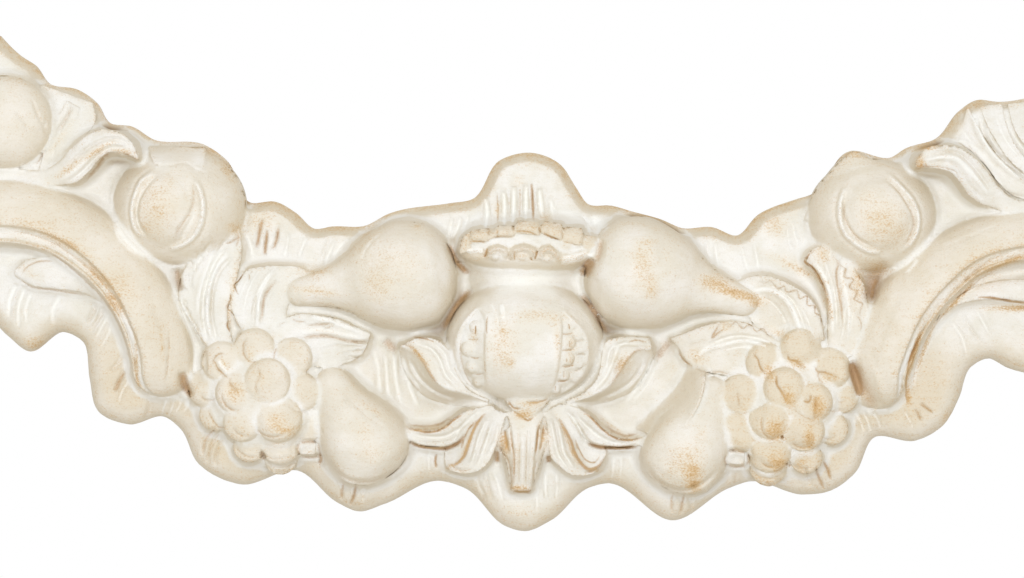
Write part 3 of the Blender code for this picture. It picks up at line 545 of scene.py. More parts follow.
for outline, pears in ((UPPER_OUTLINE, UPPER_PEARS), (LOWER_OUTLINE, LOWER_PEARS)):
    for axis, belly in pears:
        pear(outline, axis, belly)
for flank in FLANKS:
    leaf(*flank)
aged(0.3)
cuts += [
    (2.6, 0.7, -0.4, (-108, 83), (-114, 77), (-120, 69), (-123, 60)),
    (2.0, 0.4, 0.40, (-113, 80), (-117, 73)),
    (2.0, 0.5, 0.35, (-168, 27), (-155, 28), (-142, 26), (-131, 24)),
    (2.4, 0.6, 0.20, (-170, 39), (-170, 31), (-165, 26)),
    (2.0, 0.5, 0.35, (-133, -41), (-127, -46), (-121, -52), (-113, -58), (-104, -62)),
    (1.8, 0.5, 0.45, (133, -22), (134, -30), (131, -37)),
    (2.2, 0.6, 0.25, (113, -58), (121, -59), (125, -54))]
worn += [
    (-104, 62, 34, 26, 0, 0.3), (-110, 44, 14, 16, 0, 0.42), (-160, 52, 16, 7, 0, 0.42),
    (-156, 38, 24, 3, -8, 0.5), (-120, 82, 10, 2.5, 40, 0.4), (-84, 60, 5, 5, 0, 0.3),
    (-82, 86, 3, 3, 0, 0.6), (98, 64, 34, 26, 0, 0.15), (86, 60, 10, 22, 0, 0.45), (93, 44, 6, 10, 0, 0.6),
    (88, 78, 9, 4, 0, 0.5), (84, 62, 4, 8, 0, 0.55), (141, 48, 16, 7, -10, 0.75),
    (158, 41, 22, 4, -14, 0.95), (172, 35, 8, 4, -10, 0.8), (-114, -49, 18, 2, -30, 0.5),
    (-114, -82, 12, 12, 0, 0.36), (-118, -66, 8, 10, 0, 0.3), (120, -84, 20, 16, 30, 0.5),
    (126, -92, 9, 10, 0, 0.85), (128, -102, 6, 6, 0, 0.95), (132, -66, 4, 8, -20, 0.5)]

# THE BERRIES
# Two clusters of large berries under the vine leaves. They are cut only a little way down, so that
# thick white paint fills the creases between them. The carver left small flats on them, and the
# paint has gone along the edges of the flats.

# Each berry's x, z and rise, and its radius
BERRIES = (
    (-226, -16, 20, 13.5), (-202, -6, 22, 13.5), (-174, -12, 20, 13), (-238, -36, 12, 12.5),
    (-215, -39, 26, 13.5), (-192, -30, 30, 15), (-168, -38, 20, 13), (-231, -56, 12, 10.5),
    (-210, -61, 24, 12.5), (-183, -58, 28, 15), (-162, -62, 14, 11), (-205, -79, 14, 10.5),
    (-182, -78, 16, 12.5), (-182, -88, 6, 10.5),
    (180, -10, 20, 13), (206, 0, 22, 13.5), (228, -14, 20, 13.5), (162, -35, 20, 13.5),
    (194, -29, 30, 13.5), (215, -39, 28, 13), (238, -35, 14, 10.5), (162, -61, 20, 14),
    (184, -52, 28, 13.5), (209, -60, 26, 13.5), (231, -59, 14, 10.5),
    (184, -76, 20, 14), (212, -81, 12, 10.5), (184, -89, 8, 12))
# Two of the lowest berries were only roughed out, and are still small square blocks: the middle, the
# rise, half the width and half the height
BLOCKS = (((-162, -80), 14, 6.5, 4.5), ((159, -82), 14, 6.5, 5))
# The low mound that each cluster lies on, laid out as a fruit is
BERRY_BEDS = ((-200, -40, 2, 40, 38, 33), (200, -38, 2, 40, 40, 33))
BERRY_AGES = (0.45, 0.7)               # on the left and on the right
FLATS = 6            # flats on the front of each berry
FLAT_REACH = (0.74, 0.90)              # how far out a flat lies, as a share of the radius
BERRY_DEPTH = 0.85   # half the depth, as a share of the radius
PACKING = 1.16       # how much wider than round they are, so that they press on one another
draw = np.random.default_rng(11)


def berry(x, z, rise, radius):
    """A round berry with a few flats cut on its front."""
    aim = draw.normal(0, 0.5, (FLATS, 3)) + (0, -1, 0)
    aim[0] = draw.normal(0, 0.12, 3) + (0, -1, 0)
    aim /= np.linalg.norm(aim, axis=1)[:, None]
    depth = draw.uniform(*FLAT_REACH, FLATS)

    def cut(a, b, c):
        ball = np.stack((a, b, c), axis=-1)
        for direction, reach in zip(aim, depth):
            over = np.maximum(ball @ direction - reach, 0)
            ball = ball - over[:, None] * direction
        a, b, c = ball.T
        a, c, out = straight_behind(a, b, c, radius * BERRY_DEPTH, rise)
        return x + a * radius * PACKING, z + c * radius * PACKING, rise + out
    return reshape(globe(5), cut)


for bed in BERRY_BEDS:
    fruit(*bed)
aged(0.0)
for spot in BERRIES:
    berry(*spot)
    aged(BERRY_AGES[spot[0] > 0])
for (x, z), rise, half_width, half_height in BLOCKS:
    left, right, upper, lower = x - half_width, x + half_width, z + half_height, z - half_height
    leaf(((left, upper, rise), (left, lower, rise)), ((right, upper, rise), (right, lower, rise)), -1)
aged(0.0)
cuts += [
    (2.2, 1.0, 0.65, (-233, -19), (-232, -14), (-228, -10), (-224, -10)),
    (2.0, 1.0, 0.70, (-232, -15), (-229, -21), (-225, -25), (-221, -28)),
    (2.6, -0.8, -0.7, (-229, -14), (-226, -19), (-221, -23)),
    (2.2, 1.0, 0.55, (-207, 3), (-210, -2), (-210, -9), (-207, -14), (-202, -16), (-198, -15)),
    (2.0, 0.8, 0.55, (-185, -4), (-187, -9), (-187, -14)),
    (2.2, 0.8, 0.50, (-200, -17), (-197, -25), (-200, -34), (-198, -42)),
    (2.2, 1.0, 0.60, (-220, -28), (-219, -33), (-214, -37)),
    (2.6, 1.0, 0.60, (-226, -38), (-224, -46), (-219, -51), (-214, -52)),
    (2.4, 0.9, 0.50, (-217, -65), (-212, -70), (-206, -72)),
    (2.4, 0.9, 0.55, (-200, -65), (-195, -69), (-186, -71), (-177, -69)),
    (2.2, 0.9, 0.60, (-237, -52), (-233, -59), (-228, -65), (-222, -65)),
    (2.4, 0.9, 0.45, (-242, -39), (-240, -44), (-234, -45), (-229, -42)),
    (2.4, 0.9, 0.50, (-217, -79), (-211, -84), (-204, -87), (-198, -86)),
    (2.2, 0.8, 0.40, (-195, -85), (-187, -88), (-179, -87), (-171, -85)),
    (2.2, 0.9, 0.45, (-193, -89), (-187, -94), (-178, -94), (-170, -91)),
    (2.2, 0.8, 0.35, (-176, -47), (-169, -52), (-160, -52)),
    (3.4, 1.6, 0.55, (-168, -76), (-162, -75), (-154, -75)),
    (3, 1.6, 0.55, (-168, -76), (-169, -81), (-168, -85)),
    (3.4, 1.6, 0.55, (-168, -86), (-161, -87), (-152, -86)),
    (3, 1.6, 0.55, (-154, -75), (-153, -81), (-152, -86)),
    (3.0, 1.6, 0.6, (-197, -82), (-194, -85), (-192, -87)),
    (2.2, 1.0, 0.80, (170, -3), (174, -8), (176, -14), (180, -19)),
    (2.2, 1.0, 0.85, (196, -3), (197, -7), (203, -9), (207, -12), (210, -13)),
    (2.2, 1.0, 0.75, (216, -12), (219, -16), (225, -17), (230, -19), (235, -21)),
    (2.0, 0.8, 0.60, (219, -16), (220, -22), (224, -26)),
    (2.6, 1.1, 0.90, (188, -18), (188, -26), (192, -32), (195, -38), (197, -41)),
    (2.2, 0.9, 0.55, (159, -32), (160, -38), (161, -44)),
    (2.6, 1.1, 0.85, (208, -38), (212, -39), (214, -33)),
    (2.8, 1.1, 0.85, (217, -34), (217, -43), (216, -51)),
    (2.4, 0.8, 0.50, (201, -44), (207, -49), (215, -52), (222, -48)),
    (2.4, 0.9, 0.60, (178, -48), (177, -57), (179, -63), (185, -67), (193, -63)),
    (2.4, 0.9, 0.65, (199, -68), (206, -73), (214, -72), (217, -63)),
    (2.2, 0.8, 0.50, (221, -64), (229, -67), (235, -63)),
    (2.2, 0.8, 0.35, (155, -47), (163, -49), (169, -46)),
    (2.6, 0.9, 0.65, (177, -84), (183, -88), (190, -88)),
    (2.2, 0.8, 0.45, (171, -92), (178, -96), (187, -97), (195, -93)),
    (2.4, 0.9, 0.50, (201, -87), (208, -89), (216, -88)),
    (3.6, 1.6, 0.55, (153, -77), (159, -76), (167, -78)),
    (3, 1.6, 0.55, (151, -80), (151, -85), (153, -88)),
    (3.4, 1.6, 0.55, (153, -88), (160, -89), (168, -88)),
    (3.2, 1.6, 0.55, (168, -78), (169, -83), (168, -88)),
    (3.0, 1.6, 0.7, (195, -85), (198, -86), (201, -88)), (3.0, 2.4, 1.0, (192, -66), (194, -65)),
    (2.0, 0.8, 0.45, (233, -36), (236, -39), (242, -37)),
    (2.4, 0.8, 0.45, (225, -44), (233, -46), (239, -44))]
worn += [
    (-205, -12, 3, 8, 0, 0.5), (-224, -17, 7, 3, -50, 0.6), (-216, -38, 9, 9, 0, 0.7),
    (-195, -28, 4, 8, 0, 0.4), (-185, -60, 8, 8, 0, 0.7), (-178, -66, 8, 4, 0, 0.8),
    (-211, -66, 4, 4, 0, 0.5), (-183, -77, 8, 4, 0, 0.35), (-169, -32, 6, 3, 0, 0.3),
    (183, -18, 5, 9, 20, 0.75), (203, -10, 9, 5, -30, 0.7), (228, -20, 10, 5, 0, 0.6),
    (197, -36, 6, 11, 25, 0.8), (219, -42, 7, 10, 0, 0.95), (164, -45, 3, 6, 0, 0.4),
    (188, -60, 9, 10, 0, 0.85), (213, -66, 5, 12, 0, 0.9), (190, -84, 8, 9, 0, 0.8),
    (208, -85, 3, 8, 0, 0.7), (160, -70, 8, 4, 0, 0.45)]

# THE VINE LEAVES
# A three-lobed vine leaf behind each cluster. Long flutes run from its root to its tips, its edge is
# nicked with the corner of a gouge, and the nicks are painted brown, as dirt and painted shade.

# Each lobe as its two edges from root to tip, how much it is dished (or rounded, below 0), and how far
# its end swells out
VINE_LOBES = (
    (((-236, -7, 18), (-243, 2, 18), (-249, 12, 18), (-255, 21, 18), (-260, 31, 17), (-260, 42, 17),
      (-255, 55, 16), (-247, 66, 16), (-236, 74, 15), (-225, 80, 13), (-219, 84, 11)),
     ((-219, 0, 20), (-222, 12, 20), (-223, 21, 20), (-222, 30, 20), (-219, 39, 20), (-216, 48, 19),
      (-214, 59, 17), (-213, 68, 15), (-214, 75, 13), (-215, 81, 12), (-217, 85, 11)), -1.5, 0),
    (((-209, 2, 20), (-216, 14, 21), (-220, 23, 21), (-220, 33, 22), (-216, 42, 22), (-211, 51, 21),
      (-207, 54, 20)),
     ((-177, 3, 17), (-178, 12, 17), (-179, 20, 16), (-177, 29, 15), (-172, 39, 13), (-165, 47, 11),
      (-160, 51, 9)), -1.5, 7),
    (((-194, 10, 18), (-181, 17, 19), (-169, 21, 19), (-154, 20, 19), (-139, 17, 18), (-125, 11, 16),
      (-116, 7, 13)),
     ((-191, -10, 18), (-176, -15, 17), (-165, -17, 16), (-153, -19, 15), (-142, -18, 14), (-131, -15, 13),
      (-122, -9, 12)), -1.0, 1),
    (((227, 0, 20), (226, 15, 21), (226, 28, 21), (225, 39, 21), (221, 50, 21), (216, 59, 20),
      (210, 66, 18), (211, 72, 17), (215, 76, 15)),
     ((244, -5, 20), (249, 6, 20), (253, 17, 20), (256, 28, 20), (256, 38, 20), (253, 49, 20),
      (247, 59, 20), (241, 68, 19), (233, 76, 16)), -1.5, 2),
    (((201, 7, 19), (198, 20, 19), (192, 31, 18), (183, 38, 17), (169, 44, 15), (157, 48, 11)),
     ((224, 7, 21), (222, 21, 22), (218, 31, 22), (211, 40, 22), (201, 47, 21), (190, 52, 20),
      (179, 55, 18), (168, 54, 15), (158, 50, 12)), -1.5, 0),
    (((201, 7, 18), (198, 20, 18), (192, 31, 17), (183, 38, 16), (169, 44, 14), (157, 48, 10)),
     ((194, 3, 14), (185, 9, 13), (175, 14, 12), (168, 23, 11), (162, 32, 10), (156, 42, 9)), 1.0, 0),
    (((194, 3, 19), (183, 10, 20), (173, 16, 20), (162, 20, 20), (147, 20, 19), (132, 16, 17),
      (120, 11, 14), (109, 7, 10)),
     ((187, -19, 18), (169, -20, 17), (158, -21, 17), (143, -19, 16), (131, -17, 15), (122, -12, 13),
      (118, -6, 11), (114, 2, 9)), -1.0, 2))
VINE_AGES = (0.0, 0.25)                # on the left and on the right
NICK = (2.8, 1.0, 0.22)                # width, depth, and brown of dirt and painted shade
LEFT_NICKS = (
    ((-236, 78), (-234, 74), (-232, 70)), ((-242, 73), (-240, 69), (-238, 64)),
    ((-248, 67), (-245, 63), (-242, 59)), ((-252, 59), (-249, 56), (-246, 53)),
    ((-257, 51), (-254, 48), (-250, 46)), ((-260, 41), (-257, 39), (-253, 37)),
    ((-260, 31), (-256, 29), (-253, 27)), ((-256, 22), (-253, 20), (-250, 19)),
    ((-252, 13), (-249, 11), (-246, 10)), ((-113, 1), (-119, 1), (-126, 0)),
    ((-117, -5), (-123, -6), (-129, -6)), ((-123, -13), (-129, -11), (-135, -10)),
    ((-162, 24), (-159, 19), (-155, 16)), ((-146, 21), (-143, 17), (-139, 14)),
    ((-131, 16), (-128, 12), (-124, 9)))
cuts += [(*NICK, *places) for places in LEFT_NICKS]
cuts += [
    (1.8, 1.0, 0.62, (172, 52), (179, 49), (182, 51), (189, 45), (193, 47), (195, 43), (203, 44), (205, 38),
     (210, 40), (211, 33), (216, 33), (217, 27), (220, 26), (222, 19), (224, 12)),
    (1.8, 1.0, 0.68, (236, 70), (234, 64), (239, 61), (238, 55), (245, 53), (242, 47), (248, 44), (246, 38),
     (252, 35), (250, 28), (253, 22)),
    (1.8, 1.0, 0.58, (147, 20), (154, 17), (157, 20), (163, 15), (168, 18), (173, 13), (178, 15), (182, 10),
     (188, 9)),
    (3.6, 1.7, -0.4, (-226, 69), (-233, 59), (-238, 46), (-241, 32), (-241, 17), (-238, 0)),
    (3.4, 1.5, 0.25, (-221, 62), (-230, 51), (-234, 38), (-235, 26), (-234, 12), (-230, -1)),
    (3.4, -1.2, -0.7, (-223, 66), (-231, 56), (-236, 43), (-238, 30), (-238, 15), (-234, 0)),
    (3.4, -0.8, -0.5, (-230, 70), (-237, 58), (-242, 45), (-245, 30), (-245, 16)),
    (3.4, 1.4, -0.4, (-235, 73), (-241, 65), (-246, 57)),
    (3.4, 1.2, -0.4, (-242, 68), (-246, 60), (-249, 51)),
    (3.0, 1.2, 0.3, (-225, 76), (-230, 68), (-235, 62)),
    (2.6, 1.0, 0.60, (-215, 78), (-221, 74), (-226, 72)),
    (2.4, 1.0, 0.55, (-218, 84), (-216, 77), (-218, 69)),
    (2.6, 0.9, 0.30, (-214, 68), (-214, 62), (-218, 57)),
    (2.4, 1.0, 0.15, (-249, 51), (-251, 43), (-249, 36)),
    (2.0, 1.0, 0.40, (-257, 30), (-254, 24), (-251, 21)),
    (2.2, 1.0, 0.35, (-255, 26), (-251, 18), (-246, 10), (-243, 2)),
    (2.2, -0.8, -0.6, (-258, 33), (-256, 24), (-251, 15), (-246, 5), (-242, -5)),
    (1.6, 1.0, 0.8, (-211, 51), (-215, 45), (-218, 42), (-217, 38), (-215, 34)),
    (1.6, 1.0, 0.7, (-221, 37), (-221, 31), (-223, 24), (-220, 21), (-217, 17)),
    (1.8, 1.2, 0.9, (-223, 15), (-223, 11), (-221, 6)),
    (1.8, 0.9, 0.50, (-205, 53), (-207, 49), (-207, 45)),
    (3.2, 1.4, 0.30, (-187, 57), (-195, 46), (-200, 36), (-203, 25), (-203, 11)),
    (3.0, 1.3, 0.55, (-186, 46), (-192, 39), (-196, 31), (-197, 22), (-198, 13)),
    (3.0, -0.9, -0.6, (-189, 53), (-196, 43), (-200, 31), (-200, 20), (-201, 10)),
    (2.6, 0.7, -0.4, (-198, 55), (-205, 44), (-209, 33), (-211, 21)),
    (2.6, 0.6, -0.4, (-205, 50), (-212, 38), (-215, 26)),
    (3.0, 1.5, 0.55, (-171, 2), (-160, 4), (-146, 4), (-133, 1), (-116, 0)),
    (2.6, 1.1, 0.25, (-153, -6), (-143, -3), (-131, -3), (-117, -3)),
    (2.4, 0.9, 0.25, (-137, -9), (-128, -7), (-119, -7)),
    (2.2, 0.9, 0.35, (-135, -14), (-129, -12), (-122, -11)),
    (2.2, 1.0, 0.50, (-175, 17), (-170, 15), (-164, 15)),
    (2.4, 1.2, 0.50, (-165, 12), (-155, 13), (-142, 14)),
    (2.0, 0.9, 0.5, (-151, 10), (-147, 11), (-142, 14)),
    (2.2, 0.9, 0.35, (-186, 10), (-183, 13), (-178, 14)),
    (3.2, -1.0, -0.8, (-161, 19), (-146, 16), (-131, 11), (-116, 6)),
    (2.6, -0.7, -0.6, (-169, 7), (-154, 9), (-135, 6), (-118, 3)),
    (2.0, 1.2, 1.0, (214, 75), (211, 70), (209, 66), (214, 62), (218, 57), (222, 49), (226, 40)),
    (3.2, 1.1, -0.4, (221, 73), (225, 61), (229, 49), (232, 34), (233, 15)),
    (3.2, -1.0, -0.7, (215, 66), (222, 56), (227, 45), (229, 30), (230, 11)),
    (2.6, 1.2, 0.65, (229, 70), (233, 66), (232, 58), (233, 49), (235, 39), (237, 27), (238, 18)),
    (3.0, -0.9, -0.6, (239, 66), (236, 58), (239, 45), (242, 30), (242, 11)),
    (2.2, 1.0, 0.50, (248, 27), (251, 21), (251, 14)), (2.8, 0.8, -0.4, (227, 66), (227, 72), (230, 75)),
    (2.8, 0.8, -0.4, (245, 34), (244, 21), (240, 6)), (2.6, 0.8, -0.4, (239, 38), (239, 23), (236, 6)),
    (2.4, 1.0, 0.40, (224, 15), (225, 7)),
    (3.4, -1.2, -0.8, (169, 43), (184, 44), (195, 37), (201, 26), (206, 13)),
    (3.2, 1.3, -0.4, (174, 50), (187, 45), (198, 37), (205, 27), (210, 13)),
    (2.8, 0.8, -0.4, (192, 44), (202, 35), (210, 24), (215, 11)),
    (3, 0.9, -0.4, (173, 40), (184, 35), (192, 26), (197, 14)),
    (2.2, 1.1, 0.70, (146, 19), (143, 14), (140, 8), (144, 11), (149, 15)),
    (3.4, 1.5, -0.4, (134, -1), (144, 5), (157, 9), (172, 8), (185, 4)),
    (3.0, -1.0, -0.7, (127, -9), (134, -2), (146, 2), (165, 6), (182, 2)),
    (2.8, 1, -0.4, (147, -2), (161, 1), (173, 1)), (2.2, 0.9, 0.70, (115, -2), (119, -9), (126, -14)),
    (2.2, 0.9, 0.45, (126, -14), (134, -18), (146, -18), (158, -21)),
    (2.6, 0.9, 0.3, (120, 2), (129, 4), (137, 7))]
for lobe in VINE_LOBES:
    leaf(*lobe)
    root_x = lobe[0][0][0]
    aged(VINE_AGES[root_x > 0])
worn += [
    (-219, 41, 2, 24, -6, 0.5), (-222, 20, 2, 12, 8, 0.5), (-219, 84, 8, 6, 0, 0.55),
    (-190, 3, 12, 2, 10, 0.3), (-150, 8, 18, 2, -6, 0.25), (222, 72, 7, 7, -20, 0.6),
    (248, 50, 7, 24, -8, 0.5), (236, 46, 2, 16, -8, 0.5), (206, 60, 24, 3, -25, 0.6),
    (226, 34, 3, 12, 20, 0.55), (150, 16, 5, 5, 40, 0.5), (190, 12, 16, 3, -25, 0.5),
    (128, -6, 8, 5, -50, 0.55)]

# THE CALYX LEAVES AND THE STEM
# Pointed leaves spread from under the pomegranate, folded along a sharp crest where the paint has
# gone, and the grooved stem hangs between them, cut off flat at its end.

# The crests that two halves of a leaf share, from tip to root
UPPER_LEFT_CREST = (
    (-94, -2, 20), (-84, -6, 28), (-76, -14, 32), (-69, -25, 34), (-59, -33, 34), (-46, -36, 33),
    (-27, -43, 30))
UPPER_RIGHT_CREST = (
    (95, -1, 22), (82, -3, 28), (75, -10, 32), (70, -20, 34), (62, -30, 34), (50, -37, 33), (33, -43, 30))
LOWER_LEFT_CREST = (
    (-57, -92, 14), (-49, -89, 20), (-44, -83, 25), (-41, -74, 29), (-38, -65, 31), (-33, -56, 32),
    (-24, -47, 31))
LOWER_RIGHT_CREST = (
    (62, -81, 14), (57, -90, 20), (50, -93, 22), (43, -88, 25), (39, -81, 28), (35, -70, 31), (30, -61, 32),
    (21, -46, 31))
# Each leaf or half leaf as its two edges from tip to root, and how much it is dished
CALYX_LEAVES = (
    (((-91, -1, 20), (-82, 4, 26), (-64, 2, 30), (-56, -6, 32), (-52, -19, 32), (-42, -33, 30),
      (-26, -41, 28)), UPPER_LEFT_CREST, 3),
    (UPPER_LEFT_CREST,
     ((-94, -4, 10), (-91, -19, 8), (-84, -31, 6), (-74, -40, 5), (-59, -45, 6), (-41, -47, 10),
      (-25, -48, 16)), 5),
    (((93, 7, 20), (75, 8, 26), (60, 3, 30), (57, -10, 32), (54, -24, 32), (45, -34, 30), (30, -41, 28)),
     UPPER_RIGHT_CREST, 3),
    (UPPER_RIGHT_CREST,
     ((97, -7, 10), (90, -22, 8), (84, -31, 6), (70, -39, 5), (57, -43, 6), (46, -45, 10), (33, -45, 16)),
     5),
    (((-89, -62, 16), (-81, -64, 22), (-70, -65, 26), (-61, -63, 29), (-54, -57, 31), (-44, -50, 32),
      (-33, -47, 32), (-22, -45, 30)),
     ((-90, -68, 14), (-85, -73, 18), (-74, -77, 20), (-62, -77, 21), (-53, -75, 22), (-45, -70, 24),
      (-37, -62, 27), (-24, -50, 29)), 3),
    (LOWER_LEFT_CREST,
     ((-55, -95, 12), (-45, -97, 16), (-34, -95, 18), (-26, -88, 20), (-21, -77, 22), (-17, -65, 25),
      (-13, -51, 28)), 4),
    (LOWER_LEFT_CREST,
     ((-58, -92, 10), (-59, -83, 12), (-55, -72, 20), (-49, -63, 26), (-40, -53, 29), (-33, -48, 30),
      (-27, -45, 30)), 5),
    (LOWER_RIGHT_CREST,
     ((61, -87, 12), (53, -95, 16), (45, -97, 18), (35, -96, 18), (28, -91, 19), (21, -84, 20),
      (19, -74, 22), (16, -50, 28)), 4),
    (LOWER_RIGHT_CREST,
     ((63, -79, 16), (60, -76, 18), (54, -71, 20), (50, -67, 22), (43, -58, 26), (40, -53, 27),
      (36, -49, 28), (28, -43, 30)), 6),
    (((91, -67, 16), (78, -70, 22), (68, -67, 27), (58, -60, 30), (51, -53, 32), (42, -47, 32),
      (27, -43, 30)),
     ((89, -73, 14), (76, -76, 18), (61, -75, 21), (50, -72, 24), (41, -64, 27), (31, -55, 29),
      (24, -48, 29)), 3))
# The stem's flat front and its two sides, from the root down
STEM = (
    (((-13, -50, 26), (-10, -63, 30), (-8, -77, 32), (-8, -89, 30), (-8, -101, 26), (-8, -109, 22)),
     ((16, -50, 26), (11, -63, 30), (9, -76, 32), (8, -89, 30), (7, -101, 26), (6, -109, 22)), -3),
    (((-20, -71, 16), (-15, -82, 18), (-12, -92, 18), (-10, -103, 16), (-9, -109, 12)),
     ((-10, -60, 28), (-7, -77, 30), (-7, -90, 28), (-7, -101, 24), (-8, -109, 20)), -1),
    (((8, -59, 28), (8, -77, 30), (7, -89, 28), (7, -101, 24), (6, -108, 20)),
     ((19, -69, 18), (15, -82, 18), (12, -92, 18), (9, -101, 16), (7, -109, 12)), -1))
for calyx_leaf in CALYX_LEAVES:
    leaf(*calyx_leaf)
aged(0.1)
for side in STEM:
    leaf(*side)
aged(0.2)
cuts += [
    (2.0, 0.6, 0.75, (-85, 5), (-76, 4), (-66, 1)),
    (2.0, -0.8, 0.70, (-91, -1), (-84, -3), (-81, -6), (-75, -14), (-70, -23), (-63, -31)),
    (3.4, 1.4, -0.4, (-82, 0), (-70, -4), (-63, -13), (-59, -23), (-50, -32)),
    (3, 0.9, -0.4, (-69, 1), (-60, -7), (-56, -19), (-47, -30)),
    (3.4, 1.2, 0.25, (-86, -12), (-78, -26), (-67, -35), (-52, -41)),
    (2.6, 0.8, -0.4, (-90, -11), (-86, -23), (-77, -34)),
    (3.4, 1.4, -0.4, (86, 2), (71, 1), (66, -10), (61, -22), (52, -33)),
    (3, 0.9, -0.4, (77, 4), (64, -2), (61, -15), (55, -27)),
    (2.0, -0.8, 0.60, (93, -1), (83, -3), (76, -10), (70, -20), (63, -29)),
    (3.4, 1.2, 0.25, (90, -11), (82, -24), (70, -33), (55, -39)),
    (2.6, 0.9, 0.55, (73, -7), (70, -13), (66, -20)), (2.0, 0.6, 0.7, (92, 3), (84, 5), (75, 3)),
    (2.2, 0.9, 0.95, (-89, -63), (-80, -65), (-69, -66), (-60, -63), (-53, -57), (-44, -51)),
    (1.8, 0.5, 0.80, (-86, -61), (-80, -62), (-70, -62), (-62, -60), (-54, -54)),
    (3.6, 1.3, -0.4, (-84, -68), (-71, -70), (-58, -69), (-48, -63), (-36, -53)),
    (2.6, 0.8, 0.3, (-80, -73), (-67, -74), (-55, -72), (-46, -66)),
    (3.4, 2.6, 0.95, (-87, -73), (-81, -76), (-70, -78), (-57, -78), (-49, -74), (-43, -67)),
    (2.0, -0.8, 0.95, (-56, -92), (-49, -89), (-44, -83), (-41, -74), (-38, -65), (-33, -56), (-27, -50)),
    (1.8, 0.6, 0.8, (-47, -80), (-45, -73), (-42, -65), (-36, -56)),
    (3.2, 1.4, -0.4, (-28, -56), (-33, -68), (-36, -80), (-39, -91)),
    (3.2, 1.3, -0.4, (-23, -57), (-27, -70), (-31, -82), (-34, -91)),
    (3, 1, -0.4, (-19, -59), (-21, -71), (-26, -82)), (2.6, 0.9, 0.5, (-53, -92), (-46, -95), (-37, -93)),
    (2.6, 1, -0.4, (-31, -49), (-42, -56), (-49, -66), (-53, -78)),
    (2.0, -0.8, 0.95, (61, -82), (56, -90), (49, -92), (43, -87), (39, -81), (35, -70), (30, -61),
     (25, -52)),
    (1.8, 0.6, 0.8, (58, -81), (53, -87), (48, -86), (42, -78), (38, -68)),
    (3.4, 1.5, -0.4, (25, -55), (28, -69), (31, -81), (38, -91)),
    (3.2, 1.2, -0.4, (20, -55), (23, -69), (26, -81), (33, -91)),
    (3.4, 1.6, -0.4, (31, -48), (39, -57), (45, -67), (53, -76)),
    (3, 1, -0.4, (35, -51), (42, -63), (47, -74)), (2.6, 1.0, 0.75, (46, -95), (53, -93), (60, -85)),
    (2.2, 0.9, 0.95, (90, -68), (79, -70), (68, -68), (59, -62), (51, -54), (43, -48)),
    (1.8, 0.5, 0.80, (87, -65), (77, -67), (68, -64), (60, -58)),
    (3.6, 1.3, -0.4, (82, -72), (68, -72), (56, -67), (45, -58), (36, -50)),
    (3.4, 2.6, 0.95, (47, -72), (55, -75), (68, -76), (86, -75)),
    (5.0, 3.0, 0.8, (-20, -79), (-20, -84), (-19, -89)), (4.5, 2.6, 0.8, (19, -82), (19, -85), (20, -88)),
    (2.4, 1.4, 0.30, (-4, -62), (-3, -77), (-3, -93), (-3, -107)),
    (2.2, 1.2, 0.30, (2, -63), (2, -77), (2, -93), (2, -107)),
    (2.2, 0.8, 0.2, (6, -59), (6, -74), (5, -90), (5, -106)),
    (2.6, 1.6, 0.95, (-14, -63), (-13, -71), (-11, -80)),
    (2.0, 1.2, 0.75, (-10, -60), (-9, -69), (-7, -82), (-7, -105)),
    (2.2, 1.3, 0.85, (11, -59), (10, -71), (9, -83)), (2.4, 1.2, 0.8, (15, -59), (14, -69), (12, -80)),
    (2.0, 1.0, 0.5, (10, -86), (8, -96), (8, -105)),
    (2.0, 1.0, 0.65, (-21, -74), (-16, -80), (-11, -87), (-9, -97), (-8, -107)),
    (3.0, 1.0, 0.95, (-8, -109), (-1, -110), (7, -109))]
worn += [
    (-42, -75, 16, 1.6, 68, 0.6), (-54, -92, 6, 1.5, 30, 0.5), (-70, -63, 14, 1.6, 8, 0.5),
    (34, -74, 20, 1.6, -66, 0.6), (55, -93, 6, 1.5, -20, 0.5), (66, -60, 15, 1.6, -35, 0.5),
    (-78, -10, 14, 3, -48, 0.45), (74, -12, 8, 8, 50, 0.45), (-14, -74, 5, 10, 15, 0.8),
    (15, -68, 5, 12, 8, 0.55), (-4, -107, 8, 2, 0, 0.8), (-4, -78, 3, 18, 0, 0.25)]

# THE POMEGRANATE
# The fruit in the middle, with a smooth panel down its front between two sunk windows, where rows of
# seeds show. A small pointed foot closes it below.

# Laid out as the peaches are
POMEGRANATE = (0, 3, 14, 59, 47, 50)
# Each window as the curves of its inner and its outer edge, x against z
SEED_WINDOWS = (
    (((-35, 27), (-30, 20), (-30, 7), (-30, -5), (-30, -19), (-29, -28), (-34, -37)),
     ((-35, 27), (-43, 18), (-47, 11), (-50, -4), (-48, -17), (-43, -29), (-35, -36))),
    (((26, 24), (27, 18), (27, 5), (26, -7), (24, -22), (21, -32), (18, -39)),
     ((28, 24), (37, 16), (43, 8), (45, -4), (44, -16), (37, -27), (21, -39))))
WINDOW_DEPTH = 4.4
# The pointed foot, rounded from side to side
FOOT = (
    ((-16, -39, 30), (-9, -48, 31), (-3, -54, 29), (2, -57, 24)),
    ((21, -38, 30), (14, -47, 31), (8, -53, 29), (3, -57, 24)), -5)
SEED_SHAPE = (0.86, 0.94, 0.95)        # half width, half height and half depth, as shares of the size
SEED_SINK = 0.15     # how far below the window's floor a seed's middle lies, as a share of the size
# The middle and the size of each seed
SEEDS = (
    ((-37, 13), 5.4), ((-42, -3), 6.4), ((-39, -16), 5.8), ((-34, -27), 4.8),
    ((32, 15), 5.0), ((33, 3), 5.6), ((32, -9), 5.6), ((29, -21), 5.2), ((23, -31), 5.0),
    ((39, 9), 4.8), ((41, -1), 5.0), ((40, -12), 5.0), ((37, -23), 4.6))


